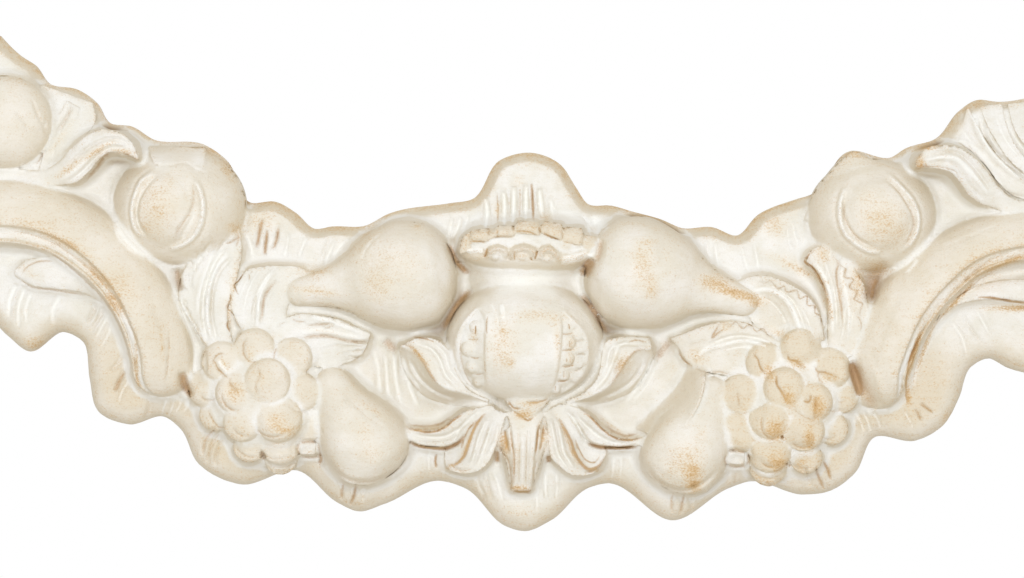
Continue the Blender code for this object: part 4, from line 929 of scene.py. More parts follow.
def pomegranate_front(x, z):
    """Rise of the pomegranate's skin at a place on its front."""
    middle_x, middle_z, rise, half_width, half_height, half_depth = POMEGRANATE
    share = 1 - ((x - middle_x) / half_width) ** 2 - ((z - middle_z) / half_height) ** 2
    return rise + half_depth * np.sqrt(np.maximum(share, 0))


def seed_windows(x, z):
    """The two sunk windows, each with a raised rim."""
    cut = np.zeros_like(x)
    for inner, outer in SEED_WINDOWS:
        edges = []
        for edge in (inner, outer):
            curve = spline(edge, 80)[::-1]
            edges.append(np.interp(z, curve[:, 1], curve[:, 0]))
        low, high = inner[-1][1], inner[0][1]
        left, right = np.minimum(*edges), np.maximum(*edges)
        inside = np.minimum(np.minimum(x - left, right - x), np.minimum(high - z, z - low))
        # The rim stands higher and broader on the outer side
        outer_side = np.abs(x - edges[1]) < np.abs(x - edges[0])
        rim = np.where(outer_side, 2.4 * bump(inside, -2.0, 1.7), 1.2 * bump(inside, -1.6, 1.3))
        cut += WINDOW_DEPTH * step_up(inside, -0.3, 1.6) - rim
    return cut


fruit(*POMEGRANATE, seed_windows, 7)
for (seed_x, seed_z), size in SEEDS:
    seed_rise = pomegranate_front(seed_x, seed_z) - (WINDOW_DEPTH + size * SEED_SINK)
    fruit(seed_x, seed_z, seed_rise, *(size * share for share in SEED_SHAPE), steps=4)
# The deep slits beside the fruit and its crown, painted dark brown as the shade that lies in them
cuts += [
    (7.0, 4.0, 0.8, (-40, 41), (-46, 35), (-52, 28), (-57, 19), (-62, 10)),
    (7.0, 4.0, 0.75, (41, 39), (47, 32), (52, 25), (57, 16), (62, 9)),
    (6.0, 4.0, 0.75, (-60, 76), (-55, 67), (-52, 61), (-47, 56), (-41, 53)),
    (6.0, 4.0, 0.6, (56, 80), (55, 74), (54, 68), (51, 63)), (12.0, 6.0, 0.8, (49, 66), (46, 60), (43, 52)),
    (9.0, 4.0, 0.55, (-106, 2), (-101, -2), (-97, -7)), (9.0, 4.0, 0.55, (110, 6), (104, -2), (98, -10)),
    (13.0, 4.0, 0.55, (245, -7), (250, -20), (256, -32), (264, -45)),
    (8.0, 5.0, 1.35, (244, -9), (247, -18), (250, -27), (252, -34)),
    (11.0, 2.0, 0.45, (249, -12), (254, -24), (259, -34), (265, -44)),
    (8.0, 6.0, 0.8, (-257, -24), (-255, -33), (-249, -43)),
    (16.0, 4.0, 0.6, (269, 66), (264, 60), (260, 50), (257, 35)),
    (5.5, 3.0, 0.8, (265, 56), (261, 47), (259, 37)), (7.0, 5.0, 0.6, (-262, 54), (-261, 45), (-259, 36)),
    (4.0, 1.6, 0.35, (-145, -88), (-139, -97), (-131, -102), (-118, -104), (-103, -100), (-93, -94),
     (-86, -84)),
    (4.0, 1.6, 0.35, (91, -87), (97, -96), (106, -103), (115, -106), (125, -106), (136, -100), (145, -91)),
    (4.0, 2.5, 0.6, (-196, -83), (-195, -87), (-193, -89)),
    (4.0, 2.5, 0.7, (-153, -83), (-152, -89), (-154, -92))]
leaf(*FOOT)
aged(0.15)
cuts += [
    (2.0, 1.0, 0.6, (27, 9), (32, 9), (36, 10)), (2.0, 1.0, 0.6, (27, -3), (32, -3), (37, -2)),
    (2.0, 1.0, 0.65, (27, -15), (31, -15), (37, -14)), (2.0, 1.0, 0.7, (24, -26), (29, -26), (33, -25)),
    (2.0, 1.0, 0.45, (36, 4), (40, 4), (44, 5)), (2.0, 1.0, 0.45, (37, -6), (41, -6), (45, -6)),
    (2.0, 1.0, 0.45, (36, -18), (40, -18), (43, -16)),
    (2.0, 0.9, 0.45, (-46, 9), (-48, 0), (-47, -13), (-42, -26), (-35, -35)),
    (1.8, 0.9, 0.95, (-37, 15), (-37, 11), (-37, 7)), (1.6, 0.7, 0.8, (32, 17), (33, 12)),
    (1.6, 0.7, 0.8, (33, 5), (33, -1)), (1.6, 0.7, 0.85, (31, -7), (31, -12)),
    (1.6, 0.7, 0.8, (29, -18), (29, -24)), (1.6, 0.7, 0.7, (23, -29), (23, -34)),
    (1.6, 0.6, 0.8, (-28, 22), (-29, 14), (-28, 7)), (1.6, 0.6, 0.6, (-30, -11), (-29, -22)),
    (1.8, 0.8, 0.6, (-41, -9), (-36, -10), (-33, -9)), (1.8, 0.8, 0.6, (-38, -22), (-34, -22), (-30, -21)),
    (1.6, 0.8, 0.6, (-43, 4), (-39, 4), (-34, 4))]
cuts += [
    (13.0, 0.0, -0.5, (-28, 36), (-16, 41), (-1, 43), (14, 41), (27, 37)),
    (11.0, 0.0, -0.4, (-28, 48), (-15, 48), (-1, 49), (13, 49), (27, 48)),
    (3.0, -0.8, -0.8, (-18, 31), (-17, 25), (-17, 19)), (2.6, 0.7, -0.4, (-26, 31), (-21, 22), (-20, 11)),
    (2.4, 1.0, 0.85, (-12, -42), (-7, -47), (-2, -47)), (2.2, 0.9, 0.8, (1, -43), (10, -42), (18, -40)),
    (2.4, 1.0, 0.9, (-8, -49), (-2, -53), (3, -56), (8, -53))]
worn += [
    (-17, 0, 11, 25, 0, 0.42), (-17, 10, 4, 8, 0, 0.6), (-12, -12, 5, 8, 0, 0.6), (20, 21, 16, 5, 0, 0.4),
    (24, 2, 3, 20, 4, 0.45), (34, -2, 6, 22, 0, 0.30), (-38, 6, 3, 5, 0, 0.5), (0, -52, 8, 4, 0, 0.9),
    (4, -43, 12, 2.5, 0, 0.6), (6, 22, 18, 6, 0, 0.34)]

# THE CROWN
# The pomegranate's crown: a round neck that flares to a shallow bowl. The bowl is hollow, and its rim
# is cut into petals: three arches stand in front, and square ends of petals behind.

# Laid out as a fruit is
BOWL = (2, 70, 22, 52.5, 16, 29)
# The sloping ground behind the crown, and the wide round neck below its bowl
CROWN_SLOPE = (
    ((-48, 78, 20), (-43, 87, 10), (-38, 98, -3)), ((55, 78, 20), (47, 90, 10), (38, 101, -3)), -4)
NECK = (((-56, 61, 0), (-53, 48, 0), (-48, 27, 0)), ((51, 63, 0), (50, 50, 0), (47, 28, 0)), -36)
# The front rim of the bowl, over the three arches
FRONT_RIM = (
    (-57, 69), (-42, 70), (-32, 69), (-28, 72), (-22, 74), (-16, 72), (-12, 71), (-8, 73), (-2, 75),
    (4, 73), (9, 71), (12, 73), (17, 74), (22, 70), (29, 67), (44, 70), (62, 72))
RIM_DROP = 4.0       # from the rim down to the bottom of the bowl
# The wall of the bowl behind its hollow
BACK_WALL = (
    ((-50, 70, 34), (-35, 76, 37), (-16, 80, 39), (-1, 82, 40), (17, 79, 40), (36, 76, 38), (53, 72, 32)),
    ((-49, 78, 30), (-38, 85, 33), (-18, 86, 35), (-1, 90, 36), (18, 88, 36), (34, 87, 35), (52, 79, 30)),
    -1)
PETAL_DISH = -1.5
# The petals on the back wall, each as its two sides from the lower edge up
BACK_PETALS = (
    (((-50, 67, 36), (-50, 73, 37), (-48, 80, 35)), ((-41, 70, 38), (-41, 77, 39), (-42, 84, 36))),
    (((-42, 76, 41), (-42, 81, 42), (-41, 85, 37)), ((-28, 77, 43), (-28, 82, 44), (-28, 87, 38))),
    (((-28, 79, 43), (-28, 82, 43), (-27, 86, 38)), ((-23, 80, 43), (-23, 83, 43), (-23, 87, 38))),
    (((-24, 80, 44), (-24, 85, 45), (-22, 89, 39)), ((-9, 81, 45), (-9, 85, 46), (-10, 89, 40))),
    (((-9, 84, 45), (-9, 88, 46), (-7, 93, 40)), ((10, 82, 46), (10, 87, 46), (9, 92, 40))),
    (((10, 84, 46), (10, 88, 46), (13, 93, 40)), ((27, 78, 45), (27, 85, 45), (26, 91, 40))),
    (((27, 77, 44), (27, 83, 44), (29, 89, 39)), ((42, 75, 41), (42, 82, 42), (41, 88, 37))),
    (((42, 71, 38), (42, 76, 40), (43, 83, 36)), ((54, 70, 33), (55, 75, 34), (52, 82, 32))))
# A small round button stands in each arch
BUTTONS = ((-23, 66, 44), (-3, 66, 45), (15, 65, 44))
BUTTON_SIZE = (4.2, 3.6, 7)


def bowl_hollow(x, z):
    """The hollow above the front rim of the bowl."""
    rim = spline(FRONT_RIM, 200)
    above = z - np.interp(x, rim[:, 0], rim[:, 1])
    return RIM_DROP * step_up(above, 0.0, 2.4) * (1 - 0.8 * step_up(above, 3.0, 12.0))


leaf(*CROWN_SLOPE)
aged(0.0)
fruit(*BOWL, bowl_hollow, 7)
aged(0.45)
leaf(*NECK)
aged(0.1)
leaf(*BACK_WALL)
for petal in BACK_PETALS:
    leaf(*petal, PETAL_DISH)
aged(0.62)
for button in BUTTONS:
    fruit(*button, *BUTTON_SIZE, steps=4)
aged(0.0)
cuts += [
    (4.4, -1.8, 0.32, (-29, 64), (-27, 70), (-22, 72), (-18, 71), (-14, 65)),
    (4.6, -2.0, 0.32, (-11, 63), (-9, 70), (-2, 72), (5, 70), (8, 64)),
    (4.4, -1.8, 0.32, (11, 63), (12, 70), (17, 72), (21, 69), (25, 63)),
    (1.8, 0.7, 0.20, (-26, 64), (-26, 68), (-21, 69), (-18, 65)),
    (1.8, 0.7, 0.30, (-8, 64), (-6, 69), (-1, 69), (3, 65)),
    (1.8, 0.7, 0.10, (12, 64), (14, 68), (18, 68), (20, 65)),
    (2.2, 2.0, 1.0, (-29, 72), (-30, 68), (-31, 65)), (1.8, 1.0, 0.75, (-8, 71), (-9, 66), (-9, 63)),
    (2.0, 1.6, 0.95, (8, 71), (7, 67), (6, 64)), (1.8, 1.2, 0.8, (3, 66), (4, 63)),
    (2.0, 0.9, 0.35, (-13, 70), (-13, 63)), (1.6, 0.6, 0.3, (-15, 66), (-14, 63)),
    (3.0, -1.0, -0.7, (26, 65), (35, 67), (46, 70)), (3.0, -0.9, -0.9, (-45, 69), (-38, 70), (-32, 70)),
    (3.2, -0.8, -0.7, (25, 62), (35, 64), (46, 67), (52, 70)),
    (2.4, 0.8, 0.15, (-45, 66), (-41, 68), (-33, 67)), (2.4, 0.7, 0.15, (28, 71), (34, 72), (44, 73))]
cuts += [
    (1.8, 0.7, 0.8, (-43, 77), (-37, 77), (-30, 77)), (1.8, 0.6, 0.6, (-27, 80), (-20, 81), (-11, 81)),
    (1.8, 0.7, 0.85, (-9, 85), (-3, 85), (3, 84), (8, 82)), (1.8, 0.7, 0.9, (11, 85), (16, 82), (25, 79)),
    (1.8, 0.5, 0.55, (26, 78), (32, 77), (37, 76)), (1.8, 1.2, 0.5, (-29, 85), (-28, 81)),
    (1.6, 1.0, 0.6, (-22, 86), (-22, 80)), (1.8, 1.2, 0.5, (-10, 90), (-10, 85)),
    (2.2, 1.6, 0.6, (9, 89), (10, 83)), (1.8, 1.2, 0.5, (26, 87), (27, 79)),
    (2.2, 0.8, 0.45, (41, 82), (42, 75)), (1.8, 0.7, 0.4, (-14, 86), (-13, 82)),
    (1.8, 0.7, 0.35, (14, 90), (15, 85))]
worn += [
    (18, 89, 9, 5, 0, 0.2), (-31, 66, 4, 4, 0, 0.4), (-4, 66, 10, 3, 0, 0.4), (18, 66, 8, 3, 0, 0.3)]

# CARVED FROM ONE PLANK
# The forms above are all one piece of wood, so they are run together into a single skin, softened as
# sanding and paint soften an edge, cut with the gouge marks, and cut off flat behind and at both ends.
VOXEL = 0.85 if fine else 1.7
TRIANGLES = 192000 if fine else 60000
# Heights are read on a grid of squares over the front, which starts left of the board and below it (mm)
CELL, AGE_CELL = 1.0, 2.0
GRID_LEFT, GRID_BELOW = 420, 170
LUMPS = ((0.85, 6), (0.35, 3))         # how uneven the hand carving is, and over how many mm
FILLETS = (2, 2, 1, 1)    # how many mm the paint in the corners is spread, in turn
RAKE = 60            # above this height the board's edge is its sloped top edge
# Painted shade, laid into the age map: how dark the board's sloped top edge, its rounded bottom edge and its
# low ends are painted, where they turn from the lamp or lie where its light falls off
TOP_EDGE_SHADE, BOTTOM_EDGE_SHADE, LOW_BOARD_SHADE = 0.9, 0.45, 0.7
# Thick paint narrows a cut and makes it shallower, so each is carved larger than it is to show: how
# much wider (fine raised lines, all others) and how much deeper (wide, middling and fine cuts)
FINE_RIDGE, MIDDLING, WIDE = 4, 2.9, 4.8
RIDGE_WIDENING, WIDENING = 1.9, 1.3
WIDE_DEEPENING, MIDDLING_DEEPENING, FINE_DEEPENING = 1.0, 1.8, 1.4
BURR = 0.2           # height of the burr beside a cut, as a share of its depth
RIM_SHADE = 0.32      # the thin line of painted shade beside a white cut


def apply(piece, kind, **settings):
    """Add a modifier with its settings and apply it."""
    modifier = piece.modifiers.new(kind.lower(), kind)
    for name, value in settings.items():
        setattr(modifier, name, value)
    bpy.ops.object.modifier_apply(modifier=modifier.name)


def read(piece, name="co"):
    """The places of a mesh's corners, or which way they face, three to a row."""
    values = np.empty(len(piece.data.vertices) * 3)
    piece.data.vertices.foreach_get(name, values)
    return values.reshape(-1, 3)


def squares(places, size):
    """The row and column of the square that each place lies in."""
    rows = (places[:, 2] / MM + GRID_BELOW) / size
    columns = (places[:, 0] / MM + GRID_LEFT) / size
    return rows.astype(int), columns.astype(int)


def blurred(heights, size):
    """The heights with each one spread over some squares on every side, three times over for a soft edge."""
    for _ in range(3):
        for axis in (0, 1):
            padded = np.pad(heights, [(size + 1, size) if n == axis else (0, 0) for n in (0, 1)], mode="edge")
            sums = np.cumsum(padded, axis=axis)
            upper = np.take(sums, range(2 * size + 1, sums.shape[axis]), axis=axis)
            lower = np.take(sums, range(0, sums.shape[axis] - 2 * size - 1), axis=axis)
            heights = (upper - lower) / (2 * size + 1)
    return heights


def between(values, up, across):
    """The values of a grid at places that lie between its squares."""
    row = np.clip(up.astype(int), 0, values.shape[0] - 2)
    column = np.clip(across.astype(int), 0, values.shape[1] - 2)
    v, u = np.clip(up - row, 0, 1), np.clip(across - column, 0, 1)
    low = values[row, column] * (1 - u) + values[row, column + 1] * u
    high = values[row + 1, column] * (1 - u) + values[row + 1, column + 1] * u
    return low * (1 - v) + high * v


# The age of whichever form stands highest in each square of the front. On the board the map holds painted
# shade
# instead: its sloped and rounded edges, and its low parts towards the ends, are painted darker where less
# light falls on them.
corners = np.concatenate([read(form) for form in forms])
amounts = np.concatenate([np.full(len(form.data.vertices), age) for form, age in zip(forms, ages)])
board = corners[:len(forms[0].data.vertices)] / MM
on_edge = -board[:, 1] - FACE < -1.0
edge_shade = np.where(board[:, 2] > RAKE, TOP_EDGE_SHADE, BOTTOM_EDGE_SHADE)
low_end_shade = LOW_BOARD_SHADE * step_up(np.abs(board[:, 0]), 60, 200) * step_up(-board[:, 2], -30, 30)
amounts[:len(board)] = np.where(on_edge, edge_shade, low_end_shade)
order = np.argsort(-corners[:, 1])
rows, columns = squares(corners[order], AGE_CELL)
age_and_shade_map = np.zeros((rows.max() + 2, columns.max() + 2))
age_and_shade_map[rows, columns] = amounts[order]
age_and_shade_map = blurred(age_and_shade_map, 1)

bpy.ops.object.select_all(action="DESELECT")
for form in forms:
    form.select_set(True)
bpy.context.view_layer.objects.active = forms[0]
bpy.ops.object.join()
carving = bpy.context.object
carving.name = carving.data.name = "carved_frieze"
apply(carving, "REMESH", mode="VOXEL", voxel_size=VOXEL * MM, adaptivity=0)

# Paint has filled the corners between the forms, so each hollow is raised to a soft slope. The hand
# carving is a little lumpy all over, apart from the board's edges.
corners = read(carving)
rise = -corners[:, 1] / MM - FACE
rows, columns = squares(corners, CELL)
heights = np.full((rows.max() + 3, columns.max() + 3), -FACE)
np.maximum.at(heights, (rows, columns), rise)
filled = heights
for reach in FILLETS:
    filled = np.maximum(filled, blurred(filled, reach))
fill = filled - heights
up, across = corners[:, 2] / MM + (GRID_BELOW - CELL / 2), corners[:, 0] / MM + (GRID_LEFT - CELL / 2)
level, raised = (between(values, up, across) for values in (filled, fill))
chance = np.random.default_rng(5)
lumps = sum(
    size * blurred(chance.normal(size=heights.shape), reach) * (2 * reach + 1) for size, reach in LUMPS)
on_board = step_up(rise, -8, -1)
corners[:, 1] -= MM * on_board * (np.maximum(rise + raised, level - 1.5) - rise + between(lumps, up, across))
carving.data.vertices.foreach_set("co", corners.ravel())
carving.data.update()
apply(carving, "SMOOTH", factor=0.5, iterations=2 if fine else 1)

# The gouge cuts: each is a rounded groove with a slight burr at its sides, and runs out at both ends
corners, facing = read(carving), read(carving, "normal")
flat = corners[:, (0, 2)] / MM
order = np.argsort(flat[:, 0])
sorted_x = flat[order, 0]
sunk, stain_and_shade = np.zeros(len(flat)), np.zeros(len(flat))
for width, depth, dirt_and_shade, *knots in cuts:
    fine_ridge = depth < 0 and width < FINE_RIDGE
    if width > WIDE:
        depth *= WIDE_DEEPENING
    else:
        depth *= MIDDLING_DEEPENING if width > MIDDLING else FINE_DEEPENING
    width *= RIDGE_WIDENING if fine_ridge else WIDENING
    length = sum(math.dist(a, b) for a, b in zip(knots, knots[1:]))
    line = spline(knots, max(8, int(1.5 * length)))
    away, along = np.full(len(flat), 9.0), np.zeros(len(flat))
    for start in range(0, len(line) - 1, 24):
        part = line[start:start + 25]
        low, high = part.min(axis=0) - width, part.max(axis=0) + width
        near = order[slice(*np.searchsorted(sorted_x, (low[0], high[0])))]
        near = near[(flat[near, 1] > low[1]) & (flat[near, 1] < high[1]) & (facing[near, 1] < -0.1)]
        if len(near):
            gaps = np.linalg.norm(flat[near, None] - part, axis=2)
            nearest = gaps.argmin(axis=1)
            gap = gaps[np.arange(len(near)), nearest] / (width / 2)
            closer = gap < away[near]
            away[near[closer]] = gap[closer]
            along[near[closer]] = (start + nearest[closer]) / (len(line) - 1)
    touched = np.flatnonzero(away < 2)
    away, along = away[touched], along[touched]
    taper = np.sqrt(np.clip(6 * along * (1 - along), 0, 1))
    groove = np.cos(math.pi / 2 * np.clip(away, 0, 1)) ** 2
    sunk[touched] += taper * depth * (groove - BURR * bump(away, 1.3, 0.35))
    # A thin line of painted shade beside each cut laid with white paint
    rim_shade = RIM_SHADE * bump(away, 1.15, 0.25) if dirt_and_shade < 0 and depth else 0
    mark = taper * (dirt_and_shade * np.clip(1.3 - 1.3 * away, 0, 1) + rim_shade)
    stronger = np.abs(mark) > np.abs(stain_and_shade[touched])
    stain_and_shade[touched[stronger]] = mark[stronger]
corners[:, 1] += sunk * MM
carving.data.vertices.foreach_set("co", corners.ravel())
carving.data.update()

# THE WORN PAINT
# Old cream paint over pale wood. It is thin on what stands out, thick in shallow creases, and brown in the
# narrow slits and deep hollows, as dirt and painted shade. How bare, sharp, deep, dirty or shaded, and old
# each spot is goes on the mesh.
RIM_WEAR, RIM_FALL, RIM_BAND = 0.55, -16, 5    # how bare the top edge's slope is, and at what rise
FORM_WEAR, FULL_AGE = 0.42, 0.6        # how bare the older forms are, and the age that counts in full
TOP_EDGE_BROWN_SHADE = 0.13                 # faint brown painted shade on the board's sloped top edge
x, z, rise = corners[:, 0] / MM, corners[:, 2] / MM, -corners[:, 1] / MM - FACE
rows, columns = squares(corners, CELL)
heights = np.full((rows.max() + 2, columns.max() + 2), -FACE)
np.maximum.at(heights, (rows, columns), rise)
# A spot is sharp where it stands above what is 2 mm round it, and deep where it lies well below what
# is 5 or 9 mm round it
at_1, at_2, at_5, at_9 = (blurred(heights, reach)[rows, columns] for reach in (1, 2, 5, 9))
edge = np.clip((at_1 - at_2) / 0.9, -1, 1)
hollow = np.maximum(np.clip((at_5 - rise - 4) / 14, 0, 1), 0.35 * np.clip((at_9 - rise - 10) / 24, 0, 1))
bare = np.zeros(len(corners))
for spot_x, spot_z, half_length, half_width, slant, strength in worn:
    turn = math.radians(slant)
    a = (x - spot_x) * math.cos(turn) + (z - spot_z) * math.sin(turn)
    b = (z - spot_z) * math.cos(turn) - (x - spot_x) * math.sin(turn)
    bare = np.maximum(bare, strength * np.exp(-(a / half_length) ** 2 - (b / half_width) ** 2))
bare = np.maximum(bare, RIM_WEAR * bump(rise, RIM_FALL, RIM_BAND) * (z > RAKE) * (facing[:, 1] < 0))
# Thick new-looking paint fills the corners, so they show no age
# On the board the age read here is painted shade on its edges and low ends
age = age_and_shade_map[squares(corners, AGE_CELL)] * (1 - step_up(fill[rows, columns], 0.3, 2.0))
bare = np.maximum(bare, FORM_WEAR * np.minimum(age, FULL_AGE) * (1 - hollow) * (facing[:, 1] < -0.4))
# Faint brown painted shade on the board's sloped top edge, where the age map is highest
stain_and_shade = np.where((age > 0.78) & (rise < 2) & (stain_and_shade == 0), TOP_EDGE_BROWN_SHADE, stain_and_shade)
masks = {"bare": bare, "edge": edge * 0.5 + 0.5, "hollow": hollow, "line": stain_and_shade * 0.5 + 0.5, "age": age}
for name, values in masks.items():
    layer = carving.data.attributes.new(name, "FLOAT", "POINT")
    layer.data.foreach_set("value", values.astype(np.float32))

apply(carving, "DECIMATE", ratio=TRIANGLES / (2 * len(carving.data.polygons)), use_collapse_triangulate=True)
# Sawn off flat behind and square at both ends
bpy.ops.object.mode_set(mode="EDIT")
end_x = HALF_LENGTH * MM
for saw_place, outwards in (((0, 0, 0), (0, 1, 0)), ((-end_x, 0, 0), (-1, 0, 0)), ((end_x, 0, 0), (1, 0, 0))):
    bpy.ops.mesh.select_all(action="SELECT")
    bpy.ops.mesh.bisect(plane_co=saw_place, plane_no=outwards, use_fill=True, clear_outer=True)
bpy.ops.mesh.select_all(action="SELECT")
bpy.ops.mesh.quads_convert_to_tris()
bpy.ops.object.mode_set(mode="OBJECT")
bpy.ops.object.shade_smooth_by_angle(angle=math.radians(62))


def linear(hex_colour):
    """An sRGB hex colour as linear red, green, blue and alpha."""
    values = [int(hex_colour[i:i + 2], 16) / 255 for i in (1, 3, 5)]
    return [v / 12.92 if v <= 0.04045 else ((v + 0.055) / 1.055) ** 2.4 for v in values] + [1]


worn_paint = bpy.data.materials.new("worn_cream_paint_on_wood")
worn_paint.use_nodes = True
nodes, links = worn_paint.node_tree.nodes, worn_paint.node_tree.links
nodes.clear()


def add(kind, inputs=None, **settings):
    """Add a node with its settings. Its inputs are values, or sockets that are linked to it."""
    node = nodes.new("ShaderNode" + kind)
    for name, value in settings.items():
        setattr(node, name, value)
    for name, value in (inputs or {}).items():
        if isinstance(value, bpy.types.NodeSocket):
            links.new(value, node.inputs[name])
        else:
            node.inputs[name].default_value = value
    return node


def summed(first, *others):
    """A mask with a share of each of the others added to it."""
    for mask, share in others:
        first = add("Math", {0: mask, 1: share, 2: first}, operation="MULTIPLY_ADD").outputs[0]
    return first


def coat(under, over, mask, none_at=0.0, most_at=1.0, most=1.0, rising="SMOOTHSTEP"):
    """One coat laid over another: none of it where the mask is at none_at, the most of it at most_at."""
    cover = add("MapRange", {0: mask, 1: none_at, 2: most_at, 4: most}, interpolation_type=rising)
    under, over = (linear(colour) if isinstance(colour, str) else colour for colour in (under, over))
    return add("Mix", {0: cover.outputs[0], 6: under, 7: over}, data_type="RGBA").outputs[2]


def mottle(size, detail, stretch=(1, 1, 1), roughness=0.55):
    """Mottling with marks so many mm across, drawn out along an axis where the stretch is below 1."""
    placed = add("Mapping", {"Vector": coords, "Scale": stretch}).outputs[0]
    marks = {"Vector": placed, "Scale": 1 / (size * MM), "Detail": detail, "Roughness": roughness}
    return add("TexNoise", marks).outputs[0]


own = add("TexCoord")
coords = own.outputs["Object"]
front = add("SeparateXYZ", {0: own.outputs["Normal"]}).outputs[1]     # -1 on what faces the room
place = add("SeparateXYZ", {0: coords})
bare_here, edge_here, hollow_here, line_here, age_and_shade_here = (
    add("Attribute", attribute_name=name).outputs["Fac"] for name in masks)

# Chalky paint, brushed on: nearly white on the leaves and the board, and grey-brown with age on the fruit
# and the scrolls. Sides that turn away from the front are browner: painted shade where the frontal light
# falls off. The finest marks of the brush, and the specks, are drawn as coarse as they need to be to show.
cloud = mottle(28.57, 4)
blotch = mottle(3.846, 5, (0.6, 1, 1), 0.65)
fine_weave = mottle(0.6667, 2, roughness=0.6)
paint = coat("#ECEBE8", "#E3E1D9", cloud, 0.35, 0.65)
paint = coat(paint, "#DED9CD", blotch, 0.52, 0.72, 0.4)
# Grey-brown with age, and on the board's edges and low ends grey-brown as painted shade
paint = coat(paint, "#D8CFBD", summed(age_and_shade_here, (cloud, 0.3), (blotch, 0.2)), 0.2, 1.1)
paint = coat(paint, "#D5CBB6", fine_weave, 0.50, 0.66, 0.22)
# Painted shade: the further a face turns from the front, the browner it is painted
paint = coat(paint, "#D9CCB3", front, -0.90, -0.20, 0.65)
# Brown in the narrow slits and deep hollows, as dirt and painted shade, and white paint that has pooled in
# the shallow creases
paint = coat(paint, "#8A6C48", hollow_here, 0.30, 0.95, 0.9)
crease = add("MapRange", {0: edge_here, 1: 0.36, 2: 0.10}, interpolation_type="SMOOTHSTEP")
shallow = add("MapRange", {0: hollow_here, 1: 0.5, 2: 0.2}, interpolation_type="SMOOTHSTEP")
pooled = add("Math", {0: crease.outputs[0], 1: shallow.outputs[0]}, operation="MULTIPLY").outputs[0]
paint = coat(paint, "#F1F1EE", pooled, most=0.5, rising="LINEAR")
paint = coat(paint, "#F2F2EE", line_here, 0.48, 0.15)
speck = mottle(1.111, 3, (0.7, 1, 1), 0.7)
# Brown in the cuts, from the marks laid along them: dirt and painted shade
paint = coat(paint, "#B28D5D", summed(line_here, (speck, 0.3)), 0.72, 1.10, 0.85)
# Bare wood where the paint has rubbed off: a golden haze, then fine brown specks, then brown patches
grain = mottle(5.882, 4, (0.10, 1, 1.6), 0.6)
sharp = add("MapRange", {0: edge_here, 1: 0.62, 2: 0.95}, interpolation_type="SMOOTHSTEP").outputs[0]
wear = summed(speck, (bare_here, 0.44), (sharp, 0.07), (grain, 0.30), (cloud, 0.10))
paint = coat(paint, "#E8D3AB", bare_here, most=0.5, rising="LINEAR")
paint = coat(paint, "#CDA873", wear, 0.80, 1.12, 0.8)
paint = coat(paint, "#97703F", wear, 1.04, 1.36, 0.8)
# The flat back and the sawn ends were never painted, and show straight wood grain
SKIN = 0.4           # how far a sawn face may lie from its true place
sawn = add("Math", {0: place.outputs[1], 1: -SKIN * MM}, operation="GREATER_THAN").outputs[0]
for sign in (1, -1):
    outwards = add("Math", {0: place.outputs[0], 1: sign}, operation="MULTIPLY").outputs[0]
    at_end = add("Math", {0: outwards, 1: (HALF_LENGTH - SKIN) * MM}, operation="GREATER_THAN").outputs[0]
    sawn = add("Math", {0: sawn, 1: at_end}, operation="MAXIMUM").outputs[0]
raw_wood = coat("#C9A878", "#A98352", mottle(11.11, 5, (0.05, 1, 1)), rising="LINEAR")
colour = coat(paint, raw_wood, sawn, rising="LINEAR")

# Brush marks, wood grain under the paint and fine specks, too shallow to be carved
brush = mottle(1.923, 3, (0.25, 1, 1))
pits = mottle(0.9091, 2)
through = add("MapRange", {0: wear, 1: 0.80, 2: 1.12}, interpolation_type="SMOOTHSTEP").outputs[0]
brushed = add("Math", {0: brush, 1: 0.6}, operation="MULTIPLY").outputs[0]
relief = summed(brushed, (pits, 0.4), (through, -0.12))
low_relief = add("Bump", {"Height": relief, "Distance": 1.2 * MM, "Strength": 0.7})
shader = add("BsdfPrincipled", {
    "Base Color": colour, "Roughness": 0.85, "IOR": 1.45, "Specular IOR Level": 0.12,
    "Normal": low_relief.outputs[0]})
add("OutputMaterial", {"Surface": shader.outputs[0]})
carving.data.materials.clear()
carving.data.materials.append(worn_paint)
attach(carving, "root")
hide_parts("frieze")

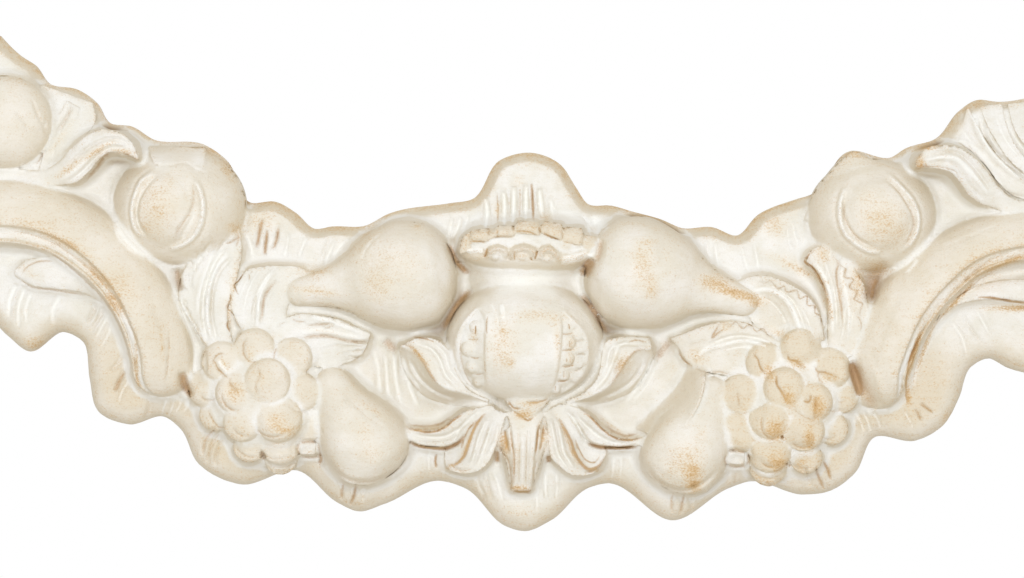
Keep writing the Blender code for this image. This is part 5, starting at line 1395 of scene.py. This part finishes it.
# THE STUDIO
# A white surround, one large soft lamp by the camera, and a pale floor below the frieze
bpy.ops.object.select_all(action="DESELECT")
bpy.ops.mesh.primitive_plane_add(size=5.0, location=(0, -0.5, -0.55))
floor = bpy.context.object
floor.name = "studio_floor"
pale = bpy.data.materials.new("pale_floor")
pale.use_nodes = True
pale.node_tree.nodes["Principled BSDF"].inputs["Base Color"].default_value = linear("#E9E7E3")
pale.node_tree.nodes["Principled BSDF"].inputs["Roughness"].default_value = 0.8
floor.data.materials.append(pale)
MIDDLE = (0, 0, 0.05)    # the middle of the frieze


def lamp(name, place, size, energy, colour):
    """A square soft lamp that faces the middle of the frieze."""
    light = bpy.data.lights.new(name, "AREA")
    light.size, light.energy = size, energy
    light.color = linear(colour)[:3]
    body = bpy.data.objects.new(name, light)
    bpy.context.scene.collection.objects.link(body)
    body.location = place
    out = np.array(place) - MIDDLE
    tilt, turn = math.acos(out[2] / np.linalg.norm(out)), math.atan2(out[1], out[0]) + math.pi / 2
    body.rotation_euler = (tilt, 0, turn)


lamp("softbox", (0.0, -4.5, 0.6), 2.2, 84, "#FFFFFF")

world = bpy.data.worlds.new("white_surround")
bpy.context.scene.world = world
world.use_nodes = True
nodes, links = world.node_tree.nodes, world.node_tree.links
nodes.clear()
seen = add("Background", {"Color": (1, 1, 1, 1), "Strength": 1.0})
cast = add("Background", {"Color": (1, 1, 1, 1), "Strength": 0.82})
eye = add("LightPath").outputs["Is Camera Ray"]
both = add("MixShader", {0: eye, 1: cast.outputs[0], 2: seen.outputs[0]})
add("OutputWorld", {"Surface": both.outputs[0]})
bpy.context.scene.view_settings.view_transform = "Standard"

camera = bpy.data.cameras.new("camera")
camera.lens = 185.6
camera.sensor_width = 36
camera.clip_end = 50
viewer = bpy.data.objects.new("camera", camera)
bpy.context.scene.collection.objects.link(viewer)
viewer.location = (-0.0104, -4.0, 0.04185)
viewer.rotation_euler = (math.radians(90), math.radians(-0.9), 0)
bpy.context.scene.camera = viewer
